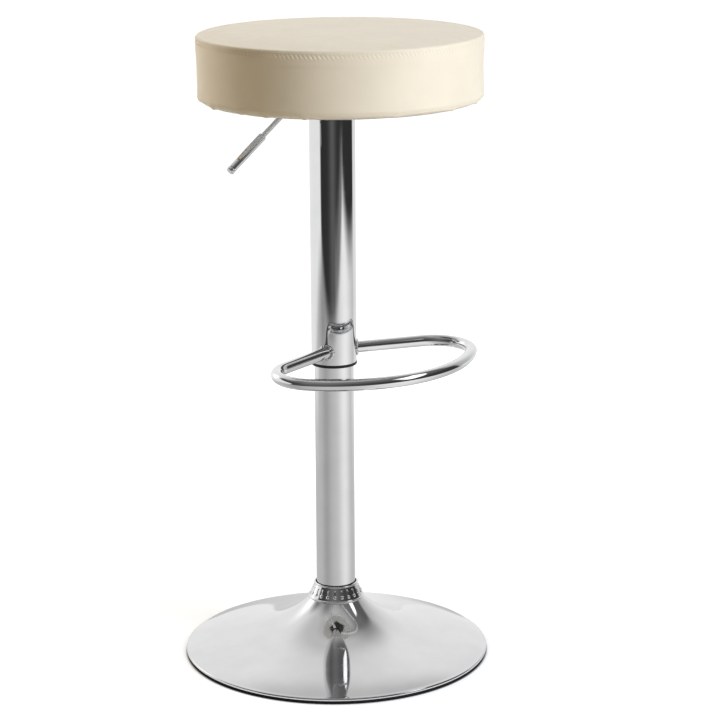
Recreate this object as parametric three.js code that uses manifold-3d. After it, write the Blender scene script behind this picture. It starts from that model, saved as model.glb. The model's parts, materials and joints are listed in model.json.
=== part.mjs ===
// A height-adjustable diner counter stool: a weighted trumpet base, a gas-lift column, a chrome
// sleeve that carries the footrest, and a round padded seat with a lift lever under it.
// Millimetres, +Z up. The origin is on the floor, on the column's axis. The stool is fully raised,
// the footrest reaches towards -Y and the lift lever points to -X.

import * as THREE from 'three';
import { mergeVertices } from 'three/addons/utils/BufferGeometryUtils.js';
import Module from 'manifold-3d';

const wasm = await Module();
wasm.setup();

// Gaps and cuts that several pieces share
const clearance = 0.3;
const overrun = 1;
const arcSteps = 2;
const roundSteps = 4;

// Counts of facets round a turned piece
const wideFacets = 48;
const seatFacets = 40;
const tubeFacets = 32;
const smallFacets = 16;
const screwFacets = 12;
const hexagonSides = 6;

// Base shell: a spun steel trumpet with a closed hem at its rim
const baseRadius = 192.5;
const baseWall = 1.8;
const neckRadius = 34;
const neckTop = 71;
const rimTop = 7;
const rimHemWidth = 4;

// The trumpet's outer line: shares of the way out to the rim and of the way down to it
const flareShares = [
  [0, 0], [0.01, 0.04], [0.026, 0.093], [0.054, 0.169], [0.096, 0.256], [0.153, 0.356], [0.23, 0.464],
  [0.32, 0.561], [0.422, 0.645], [0.575, 0.736], [0.742, 0.826], [0.87, 0.9], [1, 1],
];

// Rubber ring under the rim
const floorRingHeight = 2.8;
const floorRingInset = 1.7;
const floorRingWidth = 8.8;
const floorRingLip = 2;

// Ballast plate that closes the base
const ballastFloorGap = 1.2;
const ballastThickness = 4.2;
const ballastBore = 22;

// Outer column and its conical hub
const columnRadius = 24.7;
const columnWall = 1.5;
const columnFootGap = 2;
const columnTaper = 0.7;
const columnTaperHeight = 46;
const hubWallGap = 0.5;

// Conical collar with a bead round each edge, at the column's foot
const collarHeight = 20;
const collarColumnGap = 1.35;
const collarOverhang = 1.5;
const collarWall = 1.5;
const collarBeadRadius = 1.2;

// Guide bush in the column's mouth
const guideLength = 90;
const guideFlange = 3;
const loweredGap = 1.5;

// Gas lift: pressure tube, piston rod and what closes them
const liftStroke = 205;
const pressureTubeRadius = 14;
const pressureTubeWall = 1.5;
const pressureTubeHeadGap = 6.5;
const pressureTubeTaper = 0.7;
const pressureTubeTaperHeight = 48;
const rodRadius = 5;
const rodEndRadius = 4;
const rodGuideHeight = 12;
const rodSealHeight = 4;
const pistonHeight = 10;
const pistonGrooveHeight = 3;
const pistonGrooveDepth = 1.8;
const pistonNutHeight = 4;
const pistonNutRadius = 7;
const rodTipLength = 2;

// Thrust bearing on the column's end plate, retaining washer and clip under it
const endPlateThickness = 3;
const raceThickness = 1.5;
const raceRadius = 12;
const ballRadius = 2;
const ballCount = 8;
const ballPitchRadius = 9;
const cageThickness = 1.5;
const cageWallShare = 0.1;
const stopRadius = 11;
const stopHeight = 46.7;
const stopRibCount = 3;
const stopWaistShare = 0.86;
const retainingWasherThickness = 1.5;
const retainingWasherRadius = 9;
const clipThickness = 1;
const clipRadius = 7.5;
const clipGrooveRadius = 3.2;
const clipMouthWidth = 4;

// Valve in the pressure tube's head
const valveLength = 38;
const releasePinRadius = 2.5;
const releasePinLength = 22;
const leverPinGap = 0.4;

// Sleeve with its bush and cap
const sleeveWall = 1.3;
const sleeveLength = 310;
const sleeveTopGap = 1;
const sleeveBushWall = 1.8;
const sleeveBushFlange = 3.5;
const sleeveBushLength = 20;
const sleeveBushProud = 0.4;
const sleeveCapThickness = 8;

// Footrest: one bent tube, seen from above two arms, two corners and a front arc
const footrestTubeRadius = 7.4;
const footrestRise = 16.7;
const footrestApex = 7;
const footrestArmAngle = THREE.MathUtils.degToRad(72.75);
const footrestArcRadius = 177.8;
const footrestArcCentre = 10;
const footrestCornerRadius = 43.9;
const footrestDroop = THREE.MathUtils.degToRad(1.5);
const footrestSides = 10;
const footrestRings = 64;

// Seat plate: a flat flange with a round dish that holds the lever's fulcrum
const seatOffset = 13.3;
const plateThickness = 2.5;
const plateWidth = 150;
const plateCorner = 14;
const dishDepth = 16.6;
const dishFloorRadius = 44;
const dishFlare = 6;
const socketWall = 4;
const socketLength = 52;
const boltInset = 15;

// Lift lever: rod, grip and fulcrum
const leverRise = 6;
const leverRadius = 3.25;
const leverTip = 2;
const leverBend = 70.6;
const leverBendRadius = 14;
const leverEnd = 153;
const leverSlope = THREE.MathUtils.degToRad(36.7);
const leverSides = 8;
const leverRings = 36;
const leverSlotGap = 1.3;
const fulcrumOffset = 32;
const fulcrumBossRadius = 4.6;
const fulcrumBossWidth = 7;
const fulcrumPinRadius = 2;
const fulcrumPinHead = 3.2;
const fulcrumEarThickness = 2.5;
const fulcrumEarWidth = 11;
const fulcrumEarRise = 4.5;
const gripRadius = 5.1;
const gripLength = 62;
const gripNose = 2;

// Seat fasteners
const boltRadius = 3;
const boltHeadRadius = 5.8;
const boltHeadHeight = 4;
const boltEngagement = 11.5;
const springWasherThickness = 1.5;
const springWasherRadius = 5.4;
const springWasherSplit = 1.2;
const nutBarrelRadius = 4.2;
const nutFlangeRadius = 9;
const nutFlangeThickness = 1.4;
const nutBarrelLength = 9;

// Seat: board, foam, cover and dust cover
const seatRadius = 175;
const seatUnderside = 709.2;
const seatThickness = 79.8;
const seatCrown = 4;
const seatTopRounding = 4.5;
const seatBottomRounding = 5.5;
const seatSeamProud = 0.6;
const seatSeamDrop = 20;
const seatTuck = 0.7;
const coverWall = 1.2;
const hemWidth = 25;
const boardThickness = 12;
const dustCoverThickness = 0.6;
const dustCoverLap = 7;

// Materials
const chrome = new THREE.MeshStandardMaterial({ color: 0xd6d7d8, roughness: 0.06, metalness: 1 });
const steel = new THREE.MeshStandardMaterial({ color: 0x9b9da0, roughness: 0.35, metalness: 1 });
const blackSteel = new THREE.MeshStandardMaterial({ color: 0x1c1c1e, roughness: 0.5, metalness: 0.4 });
const rubber = new THREE.MeshStandardMaterial({ color: 0x111111, roughness: 0.8, metalness: 0 });
const plastic = new THREE.MeshStandardMaterial({ color: 0x161616, roughness: 0.5, metalness: 0 });
const leather = new THREE.MeshStandardMaterial({ color: 0xe6dcc6, roughness: 0.45, metalness: 0 });
const foam = new THREE.MeshStandardMaterial({ color: 0xece3c8, roughness: 0.95, metalness: 0 });
const wood = new THREE.MeshStandardMaterial({ color: 0xb98f5e, roughness: 0.7, metalness: 0 });
const cloth = new THREE.MeshStandardMaterial({ color: 0xcbc9c4, roughness: 0.9, metalness: 0 });

const stool = new THREE.Group();

// Mesh and solid helpers

/** Adds one named piece to a group. */
function addPiece(group, name, geometry, material) {
  const mesh = new THREE.Mesh(geometry, material);
  mesh.name = name;
  group.add(mesh);
  return mesh;
}

/** Six times the signed volume that the triangles enclose. */
function signedVolume(positions, index) {
  const [a, b, c] = [new THREE.Vector3(), new THREE.Vector3(), new THREE.Vector3()];
  let sum = 0;
  for (let i = 0; i < index.length; i += 3) {
    a.fromArray(positions, index[i] * 3);
    b.fromArray(positions, index[i + 1] * 3);
    c.fromArray(positions, index[i + 2] * 3);
    sum += a.dot(b.cross(c));
  }
  return sum;
}

/** Welds a closed geometry, drops its empty triangles and turns its faces outwards. */
function closedGeometry(source) {
  const bare = new THREE.BufferGeometry();
  bare.setAttribute('position', source.getAttribute('position').clone());
  if (source.index) {
    bare.setIndex(source.index.clone());
  }
  const welded = mergeVertices(bare);
  const all = welded.index.array;
  const kept = [];
  for (let i = 0; i < all.length; i += 3) {
    const [a, b, c] = [all[i], all[i + 1], all[i + 2]];
    if (a !== b && b !== c && c !== a) {
      kept.push(a, b, c);
    }
  }
  if (signedVolume(welded.getAttribute('position').array, kept) < 0) {
    kept.reverse();
  }
  welded.setIndex(kept);
  return welded;
}

/** Turns a closed geometry into a solid that can be cut and joined. */
function solidOf(geometry) {
  const closed = closedGeometry(geometry);
  return new wasm.Manifold(new wasm.Mesh({
    numProp: 3,
    vertProperties: Float32Array.from(closed.getAttribute('position').array),
    triVerts: Uint32Array.from(closed.index.array),
  }));
}

/** Turns a solid back into a geometry. */
function geometryOf(solid) {
  const mesh = solid.getMesh();
  const geometry = new THREE.BufferGeometry();
  geometry.setAttribute('position', new THREE.BufferAttribute(Float32Array.from(mesh.vertProperties), 3));
  geometry.setIndex(Array.from(mesh.triVerts));
  geometry.computeVertexNormals();
  return geometry;
}

/** Cuts every tool out of a body. */
function cut(body, ...tools) {
  let solid = solidOf(body);
  for (const tool of tools) {
    solid = solid.subtract(solidOf(tool));
  }
  return geometryOf(solid);
}

/** Joins bodies that overlap into one. */
function join(first, ...others) {
  let solid = solidOf(first);
  for (const other of others) {
    solid = solid.add(solidOf(other));
  }
  return geometryOf(solid);
}

/** Revolves a list of [radius, height] corners about the Z axis. */
function turned(corners, facets) {
  const points = corners.map(([radius, height]) => new THREE.Vector2(radius, height));
  const onAxis = corners[0][0] === 0 && corners[corners.length - 1][0] === 0;
  if (!onAxis) {
    points.push(points[0].clone());
  }
  const geometry = new THREE.LatheGeometry(points, facets);
  geometry.rotateX(Math.PI / 2);
  return closedGeometry(geometry);
}

/** A plain ring between two radii and two heights. */
function ring(inner, outer, bottom, top, facets) {
  return turned([[inner, bottom], [outer, bottom], [outer, top], [inner, top]], facets);
}

/** A plain disc or rod on the Z axis. */
function disc(radius, bottom, top, facets) {
  return turned([[0, bottom], [radius, bottom], [radius, top], [0, top]], facets);
}

/** A rod along Y, centred on a place in the XZ plane. */
function crossRod(radius, length, x, z) {
  const geometry = new THREE.CylinderGeometry(radius, radius, length, screwFacets);
  geometry.translate(x, 0, z);
  return geometry;
}

/** A box given by its lowest and highest corners. */
function block(low, high) {
  const geometry = new THREE.BoxGeometry(high[0] - low[0], high[1] - low[1], high[2] - low[2]);
  geometry.translate((low[0] + high[0]) / 2, (low[1] + high[1]) / 2, (low[2] + high[2]) / 2);
  return geometry;
}

/** Points on an arc in the [radius, height] plane, from one angle to another. */
function arcPoints(centre, radius, from, to, steps) {
  return Array.from({ length: steps + 1 }, (_, i) => {
    const angle = from + (to - from) * i / steps;
    return [centre[0] + radius * Math.cos(angle), centre[1] + radius * Math.sin(angle)];
  });
}

/** Moves an open profile sideways, to the right of its direction. */
function offsetProfile(points, distance) {
  return points.map((point, i) => {
    const before = points[Math.max(i - 1, 0)];
    const after = points[Math.min(i + 1, points.length - 1)];
    const along = new THREE.Vector2(after[0] - before[0], after[1] - before[1]).normalize();
    return [point[0] + along.y * distance, point[1] - along.x * distance];
  });
}

/** A round tube or rod swept along a path. */
function swept(path, radius, sides, rings) {
  const section = new THREE.Shape();
  section.absarc(0, 0, radius, 0, 2 * Math.PI, false);
  const geometry = new THREE.ExtrudeGeometry(section, {
    steps: rings,
    curveSegments: sides / 2,
    bevelEnabled: false,
    extrudePath: path,
  });
  return closedGeometry(geometry);
}

/** A rounded square plate, centred on a place in X. */
function roundedPlate(width, corner, centreX, bottom, top) {
  const half = width / 2;
  const inner = half - corner;
  const outline = new THREE.Shape();
  outline.absarc(inner, inner, corner, 0, Math.PI / 2, false);
  outline.absarc(-inner, inner, corner, Math.PI / 2, Math.PI, false);
  outline.absarc(-inner, -inner, corner, Math.PI, 3 * Math.PI / 2, false);
  outline.absarc(inner, -inner, corner, 3 * Math.PI / 2, 2 * Math.PI, false);
  const geometry = new THREE.ExtrudeGeometry(outline, {
    depth: top - bottom,
    curveSegments: roundSteps / 2,
    bevelEnabled: false,
  });
  geometry.translate(centreX, 0, bottom);
  return geometry;
}

// Base and column: heights and radii that follow from the driving sizes
const floorRingOuter = baseRadius - floorRingInset;
const floorRingInner = floorRingOuter - floorRingWidth;
const ballastTop = ballastFloorGap + ballastThickness;
const columnFoot = ballastTop + columnFootGap;
const columnBore = columnRadius - columnWall;
const collarTopRadius = columnRadius + collarColumnGap + collarWall / 2 + collarBeadRadius;
const collarBottomRadius = neckRadius + collarOverhang;

// Bearing, piston rod and pressure tube, from the end plate up
const endPlateTop = columnFoot + endPlateThickness;
const ballHeight = endPlateTop + raceThickness + clearance + ballRadius;
const upperRaceBottom = ballHeight + ballRadius + clearance;
const upperRaceTop = upperRaceBottom + raceThickness;
const stopTop = upperRaceTop + stopHeight;
const rodBore = rodEndRadius + clearance;
const washerBottom = columnFoot - clearance - retainingWasherThickness;
const clipBottom = washerBottom - clipThickness;
const rodFoot = clipBottom - rodTipLength;
const pressureTubeBottom = stopTop + clearance + liftStroke;
const pressureTubeBore = pressureTubeRadius - pressureTubeWall;
const rodGuideBottom = pressureTubeBottom + pressureTubeWall;
const rodGuideTop = rodGuideBottom + rodGuideHeight;
const rodSealTop = rodGuideTop + rodSealHeight;
const pistonBottom = rodSealTop + clearance;
const pistonTop = pistonBottom + pistonHeight;
const rodHead = pistonTop + pistonNutHeight;

// Seat plate, lever and sleeve, from the seat's underside down
const plateTop = seatUnderside - dustCoverThickness;
const plateUnderside = plateTop - plateThickness;
const dishUnderside = plateTop - dishDepth;
const dishFloor = dishUnderside + plateThickness;
const dishMouthRadius = dishFloorRadius + dishFlare;
const socketBottom = dishFloor - socketLength;
const pressureTubeTop = dishFloor - pressureTubeHeadGap;
const taperStart = pressureTubeTop - pressureTubeTaperHeight;
const leverHeight = dishFloor + leverRise;
const pinTop = leverHeight - leverRadius - leverPinGap;
const sleeveTop = dishUnderside - sleeveTopGap;
const sleeveBottom = sleeveTop - sleeveLength;
const sleeveBore = columnRadius + sleeveBushWall + 2 * clearance;
const sleeveRadius = sleeveBore + sleeveWall;
const sleeveCapBottom = socketBottom - sleeveCapThickness;
const footrestHeight = sleeveBottom + footrestRise;

// The column ends where the lowered sleeve's cap stops just above the guide bush
const guideTop = sleeveCapBottom - liftStroke - loweredGap;
const columnTop = guideTop - guideFlange;

// Seat and its fasteners
const seatEdgeHeight = seatUnderside + seatThickness;
const boardBottom = seatUnderside + coverWall + clearance;
const boardTop = boardBottom + boardThickness;
const boardRadius = seatRadius - seatTuck - seatBottomRounding - clearance;
const hemInner = seatRadius - hemWidth;
const dustCoverRadius = hemInner + dustCoverLap;
const boltSpacing = plateWidth - 2 * boltInset;
const boltHeadTop = plateUnderside - springWasherThickness;
const boltTop = boardBottom + boltEngagement;

/** The pressure tube's outer radius at a height: straight, then a slight taper to its head. */
function pressureTubeRadiusAt(height) {
  const share = Math.max((height - taperStart) / pressureTubeTaperHeight, 0);
  return pressureTubeRadius - pressureTubeTaper * share;
}

/** The column's outer radius at a height: a slight taper into the hub, then straight. */
function columnRadiusAt(height) {
  const share = Math.min((height - columnFoot) / columnTaperHeight, 1);
  return columnRadius - columnTaper * (1 - share);
}

// Base

/** The trumpet's outer line, from the neck down and out to the rim. */
function flareLine() {
  const rimHalf = (rimTop - floorRingHeight) / 2;
  const run = baseRadius - rimHalf - neckRadius;
  const drop = neckTop - rimTop;
  return flareShares.map(([out, down]) => [neckRadius + run * out, neckTop - drop * down]);
}

function makeBaseShell() {
  const outer = flareLine();
  const rimHalf = (rimTop - floorRingHeight) / 2;
  const rimMiddle = [baseRadius - rimHalf, rimTop - rimHalf];
  const rimArc = arcPoints(rimMiddle, rimHalf, Math.PI / 2, -Math.PI / 2, roundSteps);
  const hemInner = baseRadius - rimHemWidth;
  const inner = offsetProfile(outer, baseWall)
    .filter(([radius]) => radius < hemInner)
    .reverse();
  const innerTop = [neckRadius - baseWall, neckTop];
  inner[inner.length - 1] = innerTop;
  const hem = [[hemInner, floorRingHeight], [hemInner, rimTop - baseWall]];
  return turned([...outer.slice(0, -1), ...rimArc, ...hem, ...inner], wideFacets);
}

function makeFloorRing() {
  const step = baseRadius - rimHemWidth - clearance;
  const lipTop = floorRingHeight + floorRingLip;
  return turned([
    [floorRingInner, 0],
    [floorRingOuter, 0],
    [floorRingOuter, floorRingHeight],
    [step, floorRingHeight],
    [step, lipTop],
    [floorRingInner, lipTop],
  ], wideFacets);
}

function makeColumnHub() {
  const outer = neckRadius - baseWall - hubWallGap;
  return turned([
    [columnRadiusAt(columnFoot) + clearance, ballastTop],
    [outer, ballastTop],
    [outer, neckTop],
    [columnRadius + clearance, neckTop],
    [columnRadius + clearance, columnFoot + columnTaperHeight],
  ], tubeFacets);
}

function makeCollar() {
  const bottom = neckTop;
  const top = neckTop + collarHeight;
  const topCentre = [collarTopRadius - collarBeadRadius, top - collarBeadRadius];
  const bottomCentre = [collarBottomRadius - collarBeadRadius, bottom + collarBeadRadius];
  const quarter = Math.PI / 2;
  const lowerBead = arcPoints(bottomCentre, collarBeadRadius, -quarter, quarter / 2, arcSteps);
  const upperBead = arcPoints(topCentre, collarBeadRadius, -quarter / 2, quarter, arcSteps);
  const waist = collarBeadRadius * 2;
  return turned([
    [collarBottomRadius - collarBeadRadius - collarWall, bottom],
    ...lowerBead,
    [bottomCentre[0], bottom + waist],
    [topCentre[0], top - waist],
    ...upperBead,
    [topCentre[0] - collarWall / 2, top],
    [topCentre[0] - collarWall / 2, top - waist],
  ], tubeFacets);
}

function makeColumnTube() {
  const bendTop = columnFoot + columnTaperHeight;
  return turned([
    [columnRadiusAt(columnFoot) - columnWall, columnFoot],
    [columnRadiusAt(columnFoot), columnFoot],
    [columnRadius, bendTop],
    [columnRadius, columnTop],
    [columnBore, columnTop],
    [columnBore, bendTop],
  ], tubeFacets);
}

function makeGuideBush() {
  const bore = pressureTubeRadius + clearance;
  const barrel = columnBore - clearance;
  return turned([
    [bore, columnTop - guideLength],
    [barrel, columnTop - guideLength],
    [barrel, columnTop],
    [columnRadius, columnTop],
    [columnRadius, guideTop],
    [bore, guideTop],
  ], tubeFacets);
}

function addBase() {
  const group = new THREE.Group();
  stool.add(group);
  addPiece(group, 'base_shell', makeBaseShell(), chrome);
  addPiece(group, 'floor_ring', makeFloorRing(), rubber);
  const ballastEdge = floorRingInner - clearance;
  const ballast = ring(ballastBore, ballastEdge, ballastFloorGap, ballastTop, wideFacets);
  addPiece(group, 'ballast_plate', ballast, blackSteel);
  addPiece(group, 'column_hub', makeColumnHub(), steel);
  addPiece(group, 'collar_ring', makeCollar(), chrome);
  addPiece(group, 'column_tube', makeColumnTube(), chrome);
  addPiece(group, 'guide_bush', makeGuideBush(), plastic);
  const endPlateEdge = columnRadiusAt(columnFoot) - columnWall - clearance;
  const endPlate = ring(rodBore, endPlateEdge, columnFoot, endPlateTop, smallFacets);
  addPiece(group, 'column_end_plate', endPlate, steel);
  const lowerRace = ring(rodBore, raceRadius, endPlateTop, endPlateTop + raceThickness, smallFacets);
  addPiece(group, 'bearing_lower_race', lowerRace, steel);
}

// Piston rod and what turns with it

function makePistonRod() {
  return turned([
    [0, rodFoot],
    [rodEndRadius, rodFoot],
    [rodEndRadius, clipBottom],
    [clipGrooveRadius, clipBottom],
    [clipGrooveRadius, washerBottom],
    [rodEndRadius, washerBottom],
    [rodEndRadius, upperRaceTop],
    [rodRadius, upperRaceTop],
    [rodRadius, pistonBottom],
    [rodEndRadius, pistonBottom],
    [rodEndRadius, rodHead],
    [0, rodHead],
  ], smallFacets);
}

function makePiston() {
  const outer = pressureTubeBore - clearance;
  const grooveBottom = pistonBottom + (pistonHeight - pistonGrooveHeight) / 2;
  const grooveTop = grooveBottom + pistonGrooveHeight;
  return turned([
    [rodBore, pistonBottom],
    [outer, pistonBottom],
    [outer, grooveBottom],
    [outer - pistonGrooveDepth, grooveBottom],
    [outer - pistonGrooveDepth, grooveTop],
    [outer, grooveTop],
    [outer, pistonTop],
    [rodBore, pistonTop],
  ], smallFacets);
}

function makePistonSeal() {
  const outer = pressureTubeBore - clearance;
  const inner = outer - pistonGrooveDepth + clearance;
  const middle = pistonBottom + pistonHeight / 2;
  const half = pistonGrooveHeight / 2 - clearance;
  return ring(inner, outer, middle - half, middle + half, smallFacets);
}

function makePistonNut() {
  const hexagon = new THREE.CylinderGeometry(pistonNutRadius, pistonNutRadius, pistonNutHeight, hexagonSides);
  hexagon.rotateX(Math.PI / 2);
  hexagon.translate(0, 0, pistonTop + pistonNutHeight / 2);
  return cut(hexagon, disc(rodBore, pistonTop - overrun, rodHead + overrun, smallFacets));
}

function makeBumpStop() {
  const bore = rodRadius + clearance;
  const waist = stopRadius * stopWaistShare;
  const outline = [[bore, upperRaceTop], [stopRadius, upperRaceTop]];
  for (let i = 1; i <= stopRibCount; i += 1) {
    outline.push([waist, upperRaceTop + stopHeight * (i - 0.5) / stopRibCount]);
    outline.push([stopRadius, upperRaceTop + stopHeight * i / stopRibCount]);
  }
  outline.push([bore, stopTop]);
  return turned(outline, smallFacets);
}

function makeRetainingClip() {
  const body = ring(clipGrooveRadius + clearance, clipRadius, clipBottom, washerBottom, smallFacets);
  const half = clipMouthWidth / 2;
  const mouth = block([0, -half, clipBottom - overrun], [clipRadius + overrun, half, washerBottom + overrun]);
  return cut(body, mouth);
}

function addRod() {
  const group = new THREE.Group();
  stool.add(group);
  addPiece(group, 'piston_rod', makePistonRod(), chrome);
  addPiece(group, 'piston', makePiston(), steel);
  addPiece(group, 'piston_seal', makePistonSeal(), rubber);
  addPiece(group, 'piston_nut', makePistonNut(), steel);
  const upperRace = ring(rodBore, raceRadius, upperRaceBottom, upperRaceTop, smallFacets);
  addPiece(group, 'bearing_upper_race', upperRace, steel);
  addPiece(group, 'bump_stop', makeBumpStop(), rubber);
  const washerTop = washerBottom + retainingWasherThickness;
  const washer = ring(rodBore, retainingWasherRadius, washerBottom, washerTop, smallFacets);
  addPiece(group, 'retaining_washer', washer, steel);
  addPiece(group, 'retaining_clip', makeRetainingClip(), steel);
}

// Bearing cage with its balls

function addBearing() {
  const group = new THREE.Group();
  stool.add(group);
  const pocket = ballRadius + clearance;
  const wall = ballPitchRadius * cageWallShare;
  const bottom = ballHeight - cageThickness / 2;
  const top = ballHeight + cageThickness / 2;
  const reach = pocket + wall;
  const body = ring(ballPitchRadius - reach, ballPitchRadius + reach, bottom, top, smallFacets);
  const pockets = [];
  for (let i = 0; i < ballCount; i += 1) {
    const angle = 2 * Math.PI * i / ballCount;
    const [x, y] = [ballPitchRadius * Math.cos(angle), ballPitchRadius * Math.sin(angle)];
    const hole = disc(pocket, bottom - overrun, top + overrun, screwFacets);
    hole.translate(x, y, 0);
    pockets.push(hole);
    const sphere = closedGeometry(new THREE.IcosahedronGeometry(ballRadius, 1));
    const ball = addPiece(group, `bearing_ball_${i + 1}`, sphere, steel);
    ball.position.set(x, y, ballHeight);
  }
  addPiece(group, 'bearing_cage', cut(body, ...pockets), plastic);
}

// Pieces that rise with the seat: the gas spring's tube, the sleeve and the footrest

function makePressureTube() {
  const lip = pressureTubeBore - pressureTubeWall / 2;
  const headBore = pressureTubeRadiusAt(pressureTubeTop) - pressureTubeWall;
  return turned([
    [lip, pressureTubeBottom],
    [pressureTubeRadius, pressureTubeBottom],
    [pressureTubeRadius, taperStart],
    [pressureTubeRadiusAt(pressureTubeTop), pressureTubeTop],
    [headBore, pressureTubeTop],
    [pressureTubeBore, taperStart],
    [pressureTubeBore, pressureTubeBottom + pressureTubeWall],
    [lip, pressureTubeBottom + pressureTubeWall],
  ], smallFacets);
}

function makeValveBody() {
  const outer = pressureTubeRadiusAt(pressureTubeTop) - pressureTubeWall - clearance;
  const bottom = pressureTubeTop - valveLength;
  const bore = releasePinRadius + clearance;
  return ring(bore, outer, bottom, pressureTubeTop, smallFacets);
}

function makeSleeveBush() {
  const bore = columnRadius + clearance;
  const barrel = sleeveBore - clearance;
  const flange = sleeveRadius + sleeveBushProud;
  return turned([
    [bore, sleeveBottom - sleeveBushFlange],
    [flange, sleeveBottom - sleeveBushFlange],
    [flange, sleeveBottom],
    [barrel, sleeveBottom],
    [barrel, sleeveBottom + sleeveBushLength],
    [bore, sleeveBottom + sleeveBushLength],
  ], tubeFacets);
}

function makeSleeveCap() {
  const bore = pressureTubeRadiusAt(sleeveCapBottom) + clearance;
  return ring(bore, sleeveBore - clearance, sleeveCapBottom, socketBottom, tubeFacets);
}

/** The footrest tube's middle line, seen from above, at height zero. */
function footrestPath() {
  const along = new THREE.Vector2(Math.sin(footrestArmAngle), -Math.cos(footrestArmAngle));
  const inward = new THREE.Vector2(-Math.cos(footrestArmAngle), -Math.sin(footrestArmAngle));
  const apex = new THREE.Vector2(0, -footrestApex);
  const arcMiddle = new THREE.Vector2(0, footrestArcCentre);
  const offset = apex.clone().addScaledVector(inward, footrestCornerRadius).sub(arcMiddle);
  const back = offset.dot(along);
  const reach = footrestArcRadius - footrestCornerRadius;
  const armLength = Math.sqrt(back * back - offset.lengthSq() + reach * reach) - back;
  const armEnd = apex.clone().addScaledVector(along, armLength);
  const corner = armEnd.clone().addScaledVector(inward, footrestCornerRadius);
  const touch = corner.clone().sub(arcMiddle).angle();
  const bendStart = inward.clone().negate().angle();
  const path = new THREE.CurvePath();
  const flat = (point) => new THREE.Vector3(point.x, point.y, 0);
  const mirrored = (point) => new THREE.Vector3(-point.x, point.y, 0);
  const arc = (middle, radius, from, to) => new ArcCurve(flat(middle), radius, from, to);
  const turn = 2 * Math.PI;
  path.add(new THREE.LineCurve3(flat(apex), flat(armEnd)));
  path.add(arc(corner, footrestCornerRadius, bendStart, touch - turn));
  path.add(arc(arcMiddle, footrestArcRadius, touch - turn, -Math.PI - (touch - turn)));
  const farCorner = new THREE.Vector2(-corner.x, corner.y);
  path.add(arc(farCorner, footrestCornerRadius, -Math.PI - (touch - turn), -Math.PI - bendStart));
  path.add(new THREE.LineCurve3(mirrored(armEnd), mirrored(apex)));
  return path;
}

/** An arc in a horizontal plane. */
class ArcCurve extends THREE.Curve {
  constructor(middle, radius, from, to) {
    super();
    this.middle = middle;
    this.radius = radius;
    this.from = from;
    this.to = to;
  }

  getPoint(share, target = new THREE.Vector3()) {
    const angle = this.from + (this.to - this.from) * share;
    const x = this.middle.x + this.radius * Math.cos(angle);
    const y = this.middle.y + this.radius * Math.sin(angle);
    return target.set(x, y, this.middle.z);
  }
}

function makeFootrest() {
  const tube = swept(footrestPath(), footrestTubeRadius, footrestSides, footrestRings);
  tube.rotateX(footrestDroop);
  tube.translate(0, 0, footrestHeight);
  const reach = footrestTubeRadius * 2;
  const sleeve = disc(sleeveRadius + clearance, footrestHeight - reach, footrestHeight + reach, tubeFacets);
  return cut(tube, sleeve);
}

function addLift() {
  const group = new THREE.Group();
  stool.add(group);
  addPiece(group, 'pressure_tube', makePressureTube(), blackSteel);
  const guideEdge = pressureTubeBore - clearance;
  const sealBore = rodRadius + clearance;
  const guide = ring(sealBore, guideEdge, rodGuideBottom, rodGuideTop, smallFacets);
  addPiece(group, 'rod_guide', guide, plastic);
  const seal = ring(sealBore, guideEdge, rodGuideTop, rodSealTop, smallFacets);
  addPiece(group, 'rod_seal', seal, rubber);
  addPiece(group, 'valve_body', makeValveBody(), steel);
  const sleeve = ring(sleeveBore, sleeveRadius, sleeveBottom, sleeveTop, tubeFacets);
  addPiece(group, 'sleeve_tube', sleeve, chrome);
  addPiece(group, 'sleeve_bush', makeSleeveBush(), plastic);
  addPiece(group, 'sleeve_cap', makeSleeveCap(), steel);
  addPiece(group, 'footrest', makeFootrest(), chrome);
  const pin = disc(releasePinRadius, pinTop - releasePinLength, pinTop, smallFacets);
  addPiece(group, 'release_pin', pin, steel);
}

// Seat plate, its socket and the lever's fulcrum

function leverSlot() {
  const half = leverRadius + leverSlotGap;
  const outside = plateWidth / 2 + dishMouthRadius;
  const floor = leverHeight - leverRadius - leverSlotGap;
  return block([-outside, -half, floor], [-dishFloorRadius + plateThickness * 2, half, plateTop + overrun]);
}

function makeSeatPlate() {
  const flange = roundedPlate(plateWidth, plateCorner, seatOffset, plateUnderside, plateTop);
  const mouth = disc(dishMouthRadius, plateUnderside - overrun, plateTop + overrun, tubeFacets);
  const dish = turned([
    [0, dishUnderside],
    [dishFloorRadius, dishUnderside],
    [dishMouthRadius + plateThickness, plateUnderside],
    [dishMouthRadius + plateThickness, plateTop],
    [dishMouthRadius, plateTop],
    [dishFloorRadius - plateThickness / 2, dishFloor],
    [0, dishFloor],
  ], tubeFacets);
  const socketHole = pressureTubeRadius + socketWall + clearance;
  const hole = disc(socketHole, dishUnderside - overrun, dishFloor + overrun, smallFacets);
  const boltHoles = boltPlaces().map(([x, y]) => {
    const tool = disc(boltRadius + clearance, plateUnderside - overrun, plateTop + overrun, screwFacets);
    tool.translate(x, y, 0);
    return tool;
  });
  const body = join(cut(flange, mouth), dish);
  return cut(body, hole, leverSlot(), ...boltHoles);
}

function makePlateSocket() {
  const outer = pressureTubeRadius + socketWall;
  return turned([
    [pressureTubeRadiusAt(socketBottom) + clearance, socketBottom],
    [outer, socketBottom],
    [outer, dishFloor],
    [pressureTubeRadiusAt(pressureTubeTop) + clearance, dishFloor],
  ], smallFacets);
}

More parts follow.
